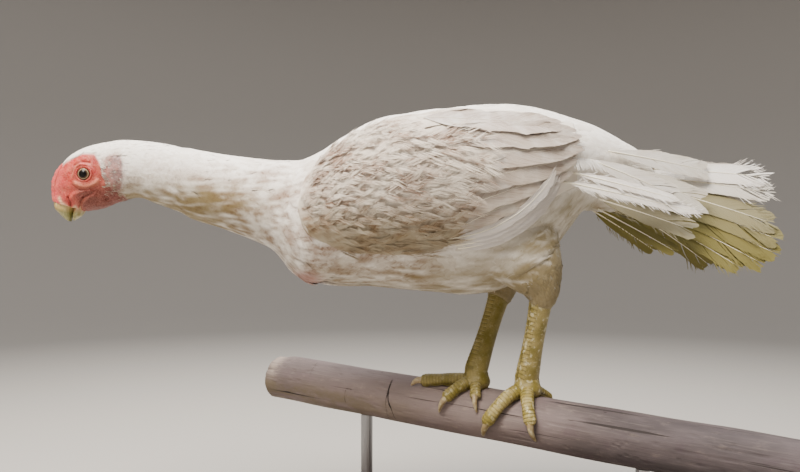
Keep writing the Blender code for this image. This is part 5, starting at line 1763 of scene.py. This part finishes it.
def combedBarbs(coverts, seed, each=24):
    # clumped barbs on the outer half of each covert, a little proud of it and past its edge
    draw = np.random.default_rng(seed)
    count = len(coverts["place"])
    pick = np.repeat(np.arange(count), each)
    clumps = np.repeat(draw.normal(0, 1, (count, each // 3)), 3, axis=1).ravel()
    at = np.clip(0.66 + 0.13 * clumps + draw.normal(0, 0.03, len(pick)), 0.35, 0.92)
    sign = np.repeat(draw.choice((-1.0, 1.0), (count, each // 3), p=(0.3, 0.7)), 3, axis=1).ravel()
    length, width, rise = coverts["size"][pick].T
    ahead, out = coverts["ahead"][pick], coverts["out"][pick]
    across = np.cross(out, ahead)
    across = np.where(across[:, 2:] > 0, -across, across)
    aside = 0.5 * width * draw.uniform(0.05, 0.55, len(pick))
    height = coverts["lift"][pick] + rise * (1 - (1 - at) ** 2) + 0.00015
    angle = sign * (0.34 + 0.08 * clumps + draw.normal(0, 0.04, len(pick)))
    way = ahead * np.cos(angle)[:, None] + across * np.sin(angle)[:, None]
    slope = 1.4 * (1 - at) * rise / length - 0.04
    marks = marksOfWing(coverts["place"] + coverts["ahead"] * (0.6 * coverts["size"][:, :1]))[pick]
    marks[:, 1] = np.clip(marks[:, 1] * draw.uniform(0.3, 1.5, len(pick)), 0, 0.9)
    kept = coverts["place"][pick][:, 2] < 0.350
    place = coverts["place"][pick] + ahead * (at * length)[:, None] + across * (sign * aside)[:, None]
    lengths = length * draw.uniform(0.20, 0.34, len(pick))
    cloud = {
        "place": place + out * height[:, None],
        "ahead": unit(way + out * slope[:, None]),
        "out": out,
        "size": np.column_stack((lengths, np.full(len(pick), 0.00055), np.full(len(pick), 0.0003))),
        "lift": np.zeros(len(pick)),
        "tone": draw.uniform(0, 1, len(pick)),
        "marks": marks,
        "rootPlace": coverts["rootPlace"][pick],
    }
    return keepOnly(cloud, kept)


covertBlade = bladeFeather("covert blade", 10, 9, 0.5, 0.025, 5)
shortBarb = barbPrototype("short barb", 2)
wingMesh = wingForm(wingLook["core depth"])
flights, flightShafts = flightFeathers()
shaftFinish = makeHorn("feather shafts")
for side in ("left", "right"):
    own = side == "left"
    form = addObject("wing_form_" + side, wingMesh if own else mirroredMesh(wingMesh), wingPlumage)
    setOutward(form.data)
    setAttribute(form.data, "marks", marksOfWing(meshPoints(form.data)))
    finishPiece(form, ("wing_" + side,))
    coverts = wingCoverts(wingMesh, 40 if own else 41)
    coverts = coverts if own else mirroredCloud(coverts)
    growCoat("coverts_" + side, coverts, covertBlade, form, True, wingPlumage, marksOf=marksOfWing)
    growCoat("covert_barbs_" + side, combedBarbs(coverts, 44), shortBarb, form, False, wingPlumage)
    finishPiece(sheetPiece("flight_vanes_" + side, flights, flightPlumage, not own))
    shafts = [mesh if own else mirroredMesh(mesh) for mesh in flightShafts]
    finishPiece(joined("flight_shafts_" + side, shafts, shaftFinish))

# tail
tailLook = {
    "lean": math.radians(24.0),
    "root": (0.1480, -0.0030, 0.3230),
    "root step": 0.0050,
    "depth step": 0.0011,
    "tilt": 0.0012,
    "bend": math.radians(7.0),
    "fringe": 0.010,
}
tailFeathers = (  # droop, length, width and olive share, from the top of the fan down; the share on the lower, far feathers is partly painted shade
    (4.0, 0.121, 0.0260, 0.00),
    (8.5, 0.125, 0.0250, 0.30),
    (19.0, 0.124, 0.0290, 0.88),
    (22.5, 0.130, 0.0290, 0.95),
    (26.0, 0.131, 0.0280, 1.00),
    (30.0, 0.120, 0.0260, 1.00),
    (34.0, 0.104, 0.0230, 1.00),
)
tailCoverts = (  # root x z, tip x y z, width, olive share, fringe barbs; the olive share of the lower coverts is partly painted shade
    ((0.128, 0.3350), (0.212, -0.0090, 0.3240), 0.0240, 0.25, 10),
    ((0.130, 0.3220), (0.196, -0.0280, 0.3000), 0.0280, 0.42, 16),
    ((0.112, 0.3270), (0.174, -0.0310, 0.3040), 0.0260, 0.22, 16),
    ((0.096, 0.3160), (0.180, -0.0440, 0.2970), 0.0110, 0.02, 20),
    ((0.088, 0.3085), (0.198, -0.0430, 0.2870), 0.0115, 0.05, 120),
    ((0.122, 0.2960), (0.188, -0.0330, 0.2750), 0.0240, 0.80, 40),
    ((0.124, 0.2880), (0.182, -0.0260, 0.2560), 0.0160, 1.00, 50),
)


def openFeather(root, ahead, out, length, bend, rows=34):
    root, ahead, out = (np.asarray(v, float) for v in (root, ahead, out))
    down = np.cross(out, ahead)
    down = -down if down[2] > 0 else down
    turn = np.linspace(0, bend, rows)[:, None]
    aheads = ahead * np.cos(turn) + down * np.sin(turn)
    spots = root + np.concatenate((np.zeros((1, 3)), np.cumsum(aheads[:-1] * length / (rows - 1), axis=0)))
    return spots, aheads, np.tile(out, (rows, 1)), down


def tailFan():
    # the long feathers in two leaning halves, then the shorter ones that cover their roots
    sheets = []
    fringes = []
    shafts = []
    lean = tailLook["lean"]
    down = np.array((0, -math.sin(lean), -math.cos(lean)))
    out = np.array((0, -math.cos(lean), math.sin(lean)))
    strips = len(tailFeathers) + len(tailCoverts)
    for i, (droop, length, width, olive) in enumerate(tailFeathers):
        turn = math.radians(droop) - tailLook["bend"] / 2
        ahead = np.array((1.0, 0, 0)) * math.cos(turn) + down * math.sin(turn)
        root = np.array(tailLook["root"]) + (down * tailLook["root step"] - out * tailLook["depth step"]) * i
        spots, aheads, outs, lower = openFeather(root, ahead, out, 0.965 * length, tailLook["bend"])
        outs = unit(outs - lower * tailLook["tilt"] / width)
        marks = (0, 0.05, olive)
        half = blunt(width)
        strip = (i + 0.5) / strips
        cuts = {"splits": 7 if i < 2 else 3, "opening": 0.05, "cutFrom": 0.80 if i < 2 else 0.45}
        sheets += vaneSheet(spots, aheads, outs, half, 0.0013, 90 + i, marks, strip, 0.50, 0.03, **cuts)
        loose = (half, (0.70, 0.99), 40, 130 + i, marks, tailLook["fringe"])
        fringes.append(barbFringe(spots, aheads, outs, *loose))
        shafts.append(shaftMesh(spots, outs, 0.0008))
    for i, ((x, z), tip, width, olive, loose) in enumerate(tailCoverts):
        hit, _ = fromSide(bodyTree, x, z)
        root = np.array(hit) + np.array((0, -0.0022, 0))
        run = np.array(tip) - root
        length = float(np.linalg.norm(run))
        ahead = run / length
        side = unit(out - ahead * out.dot(ahead))
        spots, aheads, outs, _ = openFeather(root, ahead, side, length, math.radians(4.0), 26)
        marks = (0, 0.10, olive)
        half = blunt(width)
        strip = (len(tailFeathers) + i + 0.5) / strips
        web = (half, 0.0011, 190 + i, marks, strip, 0.50, 0.03, 1)
        sheets += vaneSheet(spots, aheads, outs, *web, opening=0.03)
        fringes.append(barbFringe(spots, aheads, outs, half, (0.05, 0.97), loose, 230 + i, marks, 0.007))
        shafts.append(shaftMesh(spots, outs, 0.0007))
    return sheets, mergeClouds(fringes), shafts


def looseBarbs(seed=17):
    # a few parted barbs of the feather that the wing's end has ruffled
    draw = np.random.default_rng(seed)
    count = 34
    share = (np.arange(count) + draw.uniform(-0.4, 0.4, count)) / count
    place = []
    for part in share:
        x, z = 0.094 + 0.030 * part, 0.3285 - 0.002 * part
        hit, _ = fromSide(bodyTree, x, z)
        place.append(np.array(hit) + np.array((0, -0.0040, 0)))
    lean = np.radians(-78 + 26 * share) + draw.normal(0, 0.07, count)
    ahead = np.column_stack((np.cos(lean), np.full(count, -0.25), np.sin(lean)))
    lengths = draw.uniform(0.009, 0.014, count)
    return {
        "place": np.array(place),
        "ahead": unit(ahead),
        "out": np.tile((0.0, -0.97, 0.24), (count, 1)),
        "size": np.column_stack((lengths, np.full(count, 0.0006), np.full(count, 0.0004))),
        "lift": np.zeros(count),
        "tone": draw.uniform(0, 0.3, count),
        "marks": np.zeros((count, 3)),
        "rootPlace": np.column_stack((0.02 + 0.9 * share, np.full(count, 0.99), np.zeros(count))),
    }


fan, fringe, fanShafts = tailFan()
fringe = mergeClouds([fringe, looseBarbs()])
for side in ("left", "right"):
    own = side == "left"
    finishPiece(sheetPiece("tail_vanes_" + side, fan, tailPlumage, not own), ("tail",))
    growCoat("tail_fringe_" + side, fringe if own else mirroredCloud(fringe), barb, skin, False, tailPlumage)
    shafts = [mesh if own else mirroredMesh(mesh) for mesh in fanShafts]
    finishPiece(joined("tail_shafts_" + side, shafts, shaftFinish))

# head: comb, bill, eyes and lids
combLook = {
    "ribs": (0.15, 3.3),
    "half turn": 0.50,
    "height": 0.0030,
    "bead": 0.0024,
    "bead rise": 0.0011,
    "sunk": 0.0020,
}


def buildComb(material):
    # low triple comb: a mound of small beads along the front of the head
    rings = 70
    arc = 40
    start, end = combLook["ribs"]
    share = np.linspace(0, 1, rings)
    turns = np.linspace(-1, 1, arc)
    ribs = start + (end - start) * share
    place, _, out = bodyFrame(*np.meshgrid(ribs, turns * combLook["half turn"], indexing="ij"))
    rows = 0.5 + 0.5 * np.cos(turns * 3 * math.pi) ** 2
    swell = np.sin(math.pi * (0.04 + 0.92 * share))[:, None] ** 0.6 * np.sqrt(1 - turns**2 * 0.98)[None, :]
    rise = combLook["height"] * swell * (0.55 + 0.45 * rows[None, :])
    for i in range(rings):
        for k in range(arc):
            near = noise.voronoi(Vector(place[i, k]) / combLook["bead"])[0][0]
            rise[i, k] += combLook["bead rise"] * (0.55 - near) * swell[i, k]
    top = place + out * rise[..., None]
    under = place - out * combLook["sunk"]
    grid = np.concatenate((top, under[:, ::-1]), axis=1)
    comb = addObject("comb_flesh", meshFromGrid("comb", grid), material)
    setAttribute(comb.data, "marks", np.tile((1, 0, 0), (len(comb.data.vertices), 1)))
    return comb


billRibs = {  # as the body's ribs; the first row of each is worked out from the face's first rib
    "upper": (
        (-0.3376, 0.2902, -0.3215, 0.2868, 0.0078, 0.40, 2.1),
        (-0.3335, 0.2848, -0.3225, 0.2832, 0.0060, 0.40, 2.0),
        (-0.3294, 0.2808, -0.3236, 0.2800, 0.0044, 0.40, 2.0),
        (-0.3262, 0.2786, -0.3237, 0.2780, 0.0029, 0.50, 2.0),
    ),
    "lower": (
        (-0.3208, 0.2866, -0.3142, 0.2834, 0.0062, 0.60, 2.1),
        (-0.3217, 0.2828, -0.3180, 0.2806, 0.0044, 0.60, 2.0),
        (-0.3222, 0.2797, -0.3208, 0.2788, 0.0018, 0.50, 2.0),
    ),
}
billShares = {"upper": (0.01, 0.68), "lower": (0.72, 0.99)}


def buildBill(half, material):
    crownX, crownZ, keelX, keelZ, halfWidth = birdRibs[0, :5]
    up = np.array((crownX - keelX, crownZ - keelZ))
    up /= np.linalg.norm(up)
    inward = np.array((up[1], -up[0])) * 0.004  # the horn starts a little inside the face
    ends = []
    for share in billShares[half]:
        ends += [crownX + (keelX - crownX) * share + inward[0], crownZ + (keelZ - crownZ) * share + inward[1]]
    ribs = np.array(((*ends, halfWidth * 0.93, 0.5, 2.2), *billRibs[half]))
    at = np.linspace(0, len(ribs) - 1, 44)
    turn = np.arange(48) * math.pi / 24
    grid = bodyPoint(*np.meshgrid(at, turn, indexing="ij"), 0.0, ribs)
    return addObject("bill_horn_" + half, meshFromGrid("bill", grid), material)


def buildEyes():
    for side in ("left", "right"):
        low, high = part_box("eye_" + side)
        middle = (low + high) / 2
        material = makeEye(middle)
        rings = 48
        polar = np.linspace(0.001, math.pi - 0.001, rings)
        turn = np.arange(48) * math.pi / 24
        sign = -1.0 if side == "left" else 1.0
        cornea = 1 + 0.10 * np.exp(-((polar / 0.42) ** 2))
        radius = eyeSpot["radius"] * cornea
        ring = np.stack((np.cos(turn), np.zeros(48), np.sin(turn)), -1)
        grid = ring[None] * (radius * np.sin(polar))[:, None, None]
        grid[..., 1] = sign * (radius * np.cos(polar))[:, None]
        grid = grid + np.array(middle)
        eye = turnedOut(addObject("eye_ball_" + side, meshFromGrid("eye", grid), material))
        finishPiece(eye, ("eye_" + side,))


lidLook = {"half length": 0.0064, "half height": 0.0058, "radius": 0.0010, "beads": 22, "bead rise": 0.0005}


def buildLids(skinTree, material):
    count = 132
    turn = np.arange(count + 1) * 2 * math.pi / count
    spots = []
    for angle in turn:
        x = eyeSpot["x"] + lidLook["half length"] * math.cos(angle)
        z = eyeSpot["z"] + lidLook["half height"] * math.sin(angle)
        spots.append(fromSide(skinTree, x, z)[0])
    spots = np.array(spots, float)
    beads = np.abs(np.sin(turn * lidLook["beads"] / 2)) * np.clip(0.4 + 0.6 * np.sin(turn), 0, 1)
    radii = lidLook["radius"] + lidLook["bead rise"] * beads
    middle = spots.mean(0)
    spots = spots + unit(spots - middle) * 0.0002
    closed = np.vstack((spots[-2:-1], spots, spots[1:2]))
    ahead = unit(closed[2:] - closed[:-2])
    outs = unit(np.tile((0, -1.0, 0), (count + 1, 1)))
    across = unit(np.cross(ahead, outs))
    ring = np.arange(12) * math.pi / 6
    grid = spots[:, None] + radii[:, None, None] * (
        outs[:, None] * np.cos(ring)[None, :, None] + across[:, None] * np.sin(ring)[None, :, None]
    )
    mesh = meshFromGrid("lid", grid[:-1], capped=False)
    work = bmesh.new()
    work.from_mesh(mesh)
    work.verts.ensure_lookup_table()
    last = (count - 1) * 12
    for k in range(12):
        n = (k + 1) % 12
        work.faces.new([work.verts[i] for i in (last + k, last + n, n, k)])
    bmesh.ops.recalc_face_normals(work, faces=work.faces)
    work.to_mesh(mesh)
    work.free()
    lids = joined("eye_lids", [mesh, mirroredMesh(mesh)], material)
    setAttribute(lids.data, "marks", np.tile((1, 0, 0), (len(lids.data.vertices), 1)))
    finishPiece(lids)


skinTree = treeOf(meshFromGrid("guide", bodyPoint(*np.meshgrid(
    np.linspace(0, neckStart, 90), np.arange(120) * math.pi / 60, indexing="ij"
))))
finishPiece(buildComb(faceSkin), ("comb",))
for half in ("upper", "lower"):
    horn = makeHorn(half + " bill horn")
    finishPiece(turnedOut(buildBill(half, horn)), ("bill_" + half,))
buildEyes()
buildLids(skinTree, faceSkin)


# legs and feet
def plateRise(run, turn, length, halfTurn, columns):
    # plates that overlap down a limb, in columns on its outer side: 0 in a seam to 1 on a plate
    lane = (turn + halfTurn) / (2 * halfTurn) * columns
    column = np.floor(lane)
    inLane = np.abs(lane - column - 0.5) * 2
    step = run / length + 0.5 * (column % 2)
    along = step - np.floor(step)
    plate = np.clip(1.15 - np.abs(2 * along - 1) ** 6, 0, 1) * (0.55 + 0.45 * along)
    edge = 1 - inLane**8
    return np.where(np.abs(turn) < halfTurn, plate * edge, 0.6)


def scaledLimb(path, radii, outs, sides, plates, padEvery=0.0):
    grid, ways, turn = limbGrid(path, radii, outs, sides)
    run = np.concatenate(([0], np.cumsum(np.linalg.norm(np.diff(np.asarray(path, float), axis=0), axis=1))))
    runGrid, turnGrid = np.meshgrid(run, (turn + math.pi) % (2 * math.pi) - math.pi, indexing="ij")
    length, halfTurn, columns = plates
    relief = plateRise(runGrid, turnGrid, length, halfTurn, columns)
    rise = legSizes["plate rise"] * (relief - 0.5)
    if padEvery:
        under = smoothStep(1.6, 2.6, np.abs(turnGrid))
        rise = rise + under * 0.0009 * (np.abs(np.sin(math.pi * runGrid / padEvery)) - 0.5)
    mesh = meshFromGrid("limb", grid + ways * rise[..., None])
    setAttribute(mesh, "relief", relief.reshape(-1), "FLOAT")
    return mesh


def toeLine(station, heading, distances, radii):
    # spots on a toe that winds round the pole, and the ways out of the pole there
    reach = pole["radius"] + radii * 0.86
    turn = -distances * math.sin(heading) / reach
    base = np.array(pole["point"]) + np.array(poleAlong) * (station + distances * math.cos(heading))[:, None]
    outs = np.array(poleNear) * np.sin(turn)[:, None] + np.array(poleUp) * np.cos(turn)[:, None]
    return base + outs * reach[:, None], outs


def softenJoins(mesh, foot, ankle):
    # skin runs smoothly where shank, toes and pad meet
    work = bmesh.new()
    work.from_mesh(mesh)
    joins = ((Vector(foot), 0.0145), (Vector(ankle), 0.0125))
    near = [v for v in work.verts if any((v.co - spot).length < reach for spot, reach in joins)]
    for _ in range(6):
        bmesh.ops.smooth_vert(work, verts=near, factor=0.5, use_axis_x=True, use_axis_y=True, use_axis_z=True)
    work.to_mesh(mesh)
    work.free()


def buildLeg(side, leg, scales, claw):
    hem, ankle, down = legLine(leg)
    start = hem - down * 0.006
    rings = 240
    share = np.linspace(0, 1, rings)
    length = (ankle - start).length
    radii = smoothRows(np.array(legSizes["shank"])[:, ::-1], share * (len(legSizes["shank"]) - 1))
    path = np.array(start) + np.array(down) * (share * length)[:, None]
    front = np.tile((-1.0, 0.0, 0.0), (rings, 1))
    centre = Vector(pole["point"]) + poleAlong * leg["station"] + poleUp * (pole["radius"] + 0.0048)
    foot = [np.array(ankle.lerp(centre, t)) for t in (0.5, 1.0)]
    path = np.vstack((path, foot))
    radii = np.vstack((radii, radii[-1] * (1.12, 1.05), radii[-1] * (1.10, 1.0)))
    front = np.vstack((front, front[:2]))
    meshes = [scaledLimb(path, radii, front, 90, (legSizes["scute"], 1.25, 3))]
    claws = []
    for toe, (heading, reach, root, tip) in leg["toes"].items():
        distances = np.linspace(-0.003, reach, 150)
        t = np.clip(distances / reach, 0, 1)
        size = root + (tip - root) * t
        bulb = 1 + 0.10 * np.exp(-(((t - 0.88) / 0.10) ** 2)) - 0.05 * np.exp(-(((t - 0.62) / 0.07) ** 2))
        end = np.sqrt(np.clip(1 - np.clip((t - 0.90) / 0.115, 0, 1) ** 2, 0.02, 1))
        spots, outs = toeLine(leg["station"], heading, distances, size)
        radius = size * bulb * end
        radii = np.column_stack((radius, radius * 0.96))
        meshes.append(scaledLimb(spots, radii, outs, 44, (legSizes["toe plate"], 2.0, 1), 0.011))
        clawRun = np.linspace(reach - 0.004, reach + legSizes["claw"] * 0.82, 30)
        u = np.linspace(0, 1, 30)
        width = tip * 0.70 * (1 - u) ** 0.6 + 0.0006
        spots, outs = toeLine(leg["station"], heading, clawRun, width)
        arch = 0.0022 * np.sin(math.pi * np.clip(u * 1.05, 0, 1))
        spots = spots + outs * (arch + 0.0008)[:, None]
        grid, _, _ = limbGrid(spots, np.column_stack((width * 0.8, width)), outs, 16)
        claws.append(meshFromGrid("claw", grid))
    pad = np.linspace(0.02, math.pi - 0.02, 24)
    across, along, thick = 0.0120, 0.0125, 0.0092
    middle = np.array(centre)
    ring = np.arange(32) * math.pi / 16
    grid = (
        np.array(poleAlong) * (along * np.sin(pad))[:, None, None] * np.cos(ring)[None, :, None]
        + np.array(poleNear) * (across * np.sin(pad))[:, None, None] * np.sin(ring)[None, :, None]
        + np.array(poleUp) * (thick * np.cos(pad))[:, None, None]
        + middle
    )
    padMesh = turnedOut(addObject("pad", meshFromGrid("pad", grid))).data
    bpy.data.objects.remove(bpy.data.objects["pad"])
    setAttribute(padMesh, "relief", np.full(len(padMesh.vertices), 0.6), "FLOAT")
    piece = addObject("leg_scales_" + side, meshes[0], scales)
    known = kdtree.KDTree(sum(len(mesh.vertices) for mesh in (*meshes, padMesh)))
    reliefs = []
    for mesh in (*meshes, padMesh):
        values = np.zeros(len(mesh.vertices), np.float32)
        mesh.attributes["relief"].data.foreach_get("value", values)
        for vertex, value in zip(mesh.vertices, values):
            known.insert(vertex.co, len(reliefs))
            reliefs.append(value)
    known.balance()
    fuse(piece, [*meshes[1:], padMesh])
    found = [reliefs[known.find(vertex.co)[1]] for vertex in piece.data.vertices]
    setAttribute(piece.data, "relief", found, "FLOAT")
    softenJoins(piece.data, np.array(centre), np.array(ankle))
    finishPiece(piece, ("shank_" + side, "foot_" + side))
    names = [f"claw_{side}_{toe}" for toe in leg["toes"]]
    finishPiece(joined("claw_horn_" + side, claws, claw), names)


clawHorn = makeHorn("claw horn")
for side, leg in legs.items():
    buildLeg(side, leg, legScales, clawHorn)


# perch and stand
def buildPole(material):
    rings = 420
    sides = 120
    start, end = -pole["reach"][0], pole["reach"][1]
    run = np.linspace(start, end, rings)
    turn = np.arange(sides) * 2 * math.pi / sides
    ends = np.minimum(run - start, end - run)
    radius = pole["radius"] - 0.0022 * np.sqrt(np.clip(1 - ends / 0.0022, 0, 1))
    runGrid, turnGrid = np.meshgrid(run, turn, indexing="ij")
    rise = np.zeros(runGrid.shape)
    for i in range(rings):
        for k in range(sides):
            spot = Vector((run[i] / 0.060, math.cos(turn[k]) * 2.2, math.sin(turn[k]) * 2.2))
            line = Vector((run[i] / 0.110, math.cos(turn[k]) * 9.0, math.sin(turn[k]) * 9.0))
            crack = abs(noise.noise(line))
            rise[i, k] = 0.0007 * noise.noise(spot) - 0.0009 * max(0.0, 1 - crack / 0.030)
    # a worn notch at the near end and a rubbed ridge along the far top
    notch = np.exp(-(((runGrid - start - 0.006) / 0.009) ** 2)) * smoothStep(0.1, 0.9, np.cos(turnGrid - 0.5))
    ridge = np.exp(-(((np.sin(turnGrid) + 0.25) / 0.16) ** 2)) * (np.cos(turnGrid) > 0)
    ridge *= smoothStep(0.06, 0.10, runGrid)
    rise = rise - 0.0002 - 0.0028 * notch
    wear = np.clip(0.85 * notch + 0.55 * ridge, 0, 1)
    reach = radius[:, None] + rise
    grid = (
        np.array(pole["point"])
        + np.array(poleAlong) * runGrid[..., None]
        + np.array(poleNear) * (reach * np.sin(turnGrid))[..., None]
        + np.array(poleUp) * (reach * np.cos(turnGrid))[..., None]
    )
    piece = turnedOut(addObject("pole", meshFromGrid("pole", grid), material))
    setAttribute(piece.data, "wear", wear.reshape(-1), "FLOAT")
    setAttribute(piece.data, "lower", (0.5 - 0.5 * np.cos(turnGrid)).reshape(-1), "FLOAT")
    return piece


finishPiece(buildPole(makeWeatheredWood(poleAlong)), ("perch",))
nodes = frame["nodes"]
board = makeStainedBoard()
steel = makeBrushedSteel()
for name, finish in (("stand_base", board), ("stand_rod_far", steel), ("stand_rod_near", steel)):
    nodes[name].data.materials.clear()
    nodes[name].data.materials.append(finish)
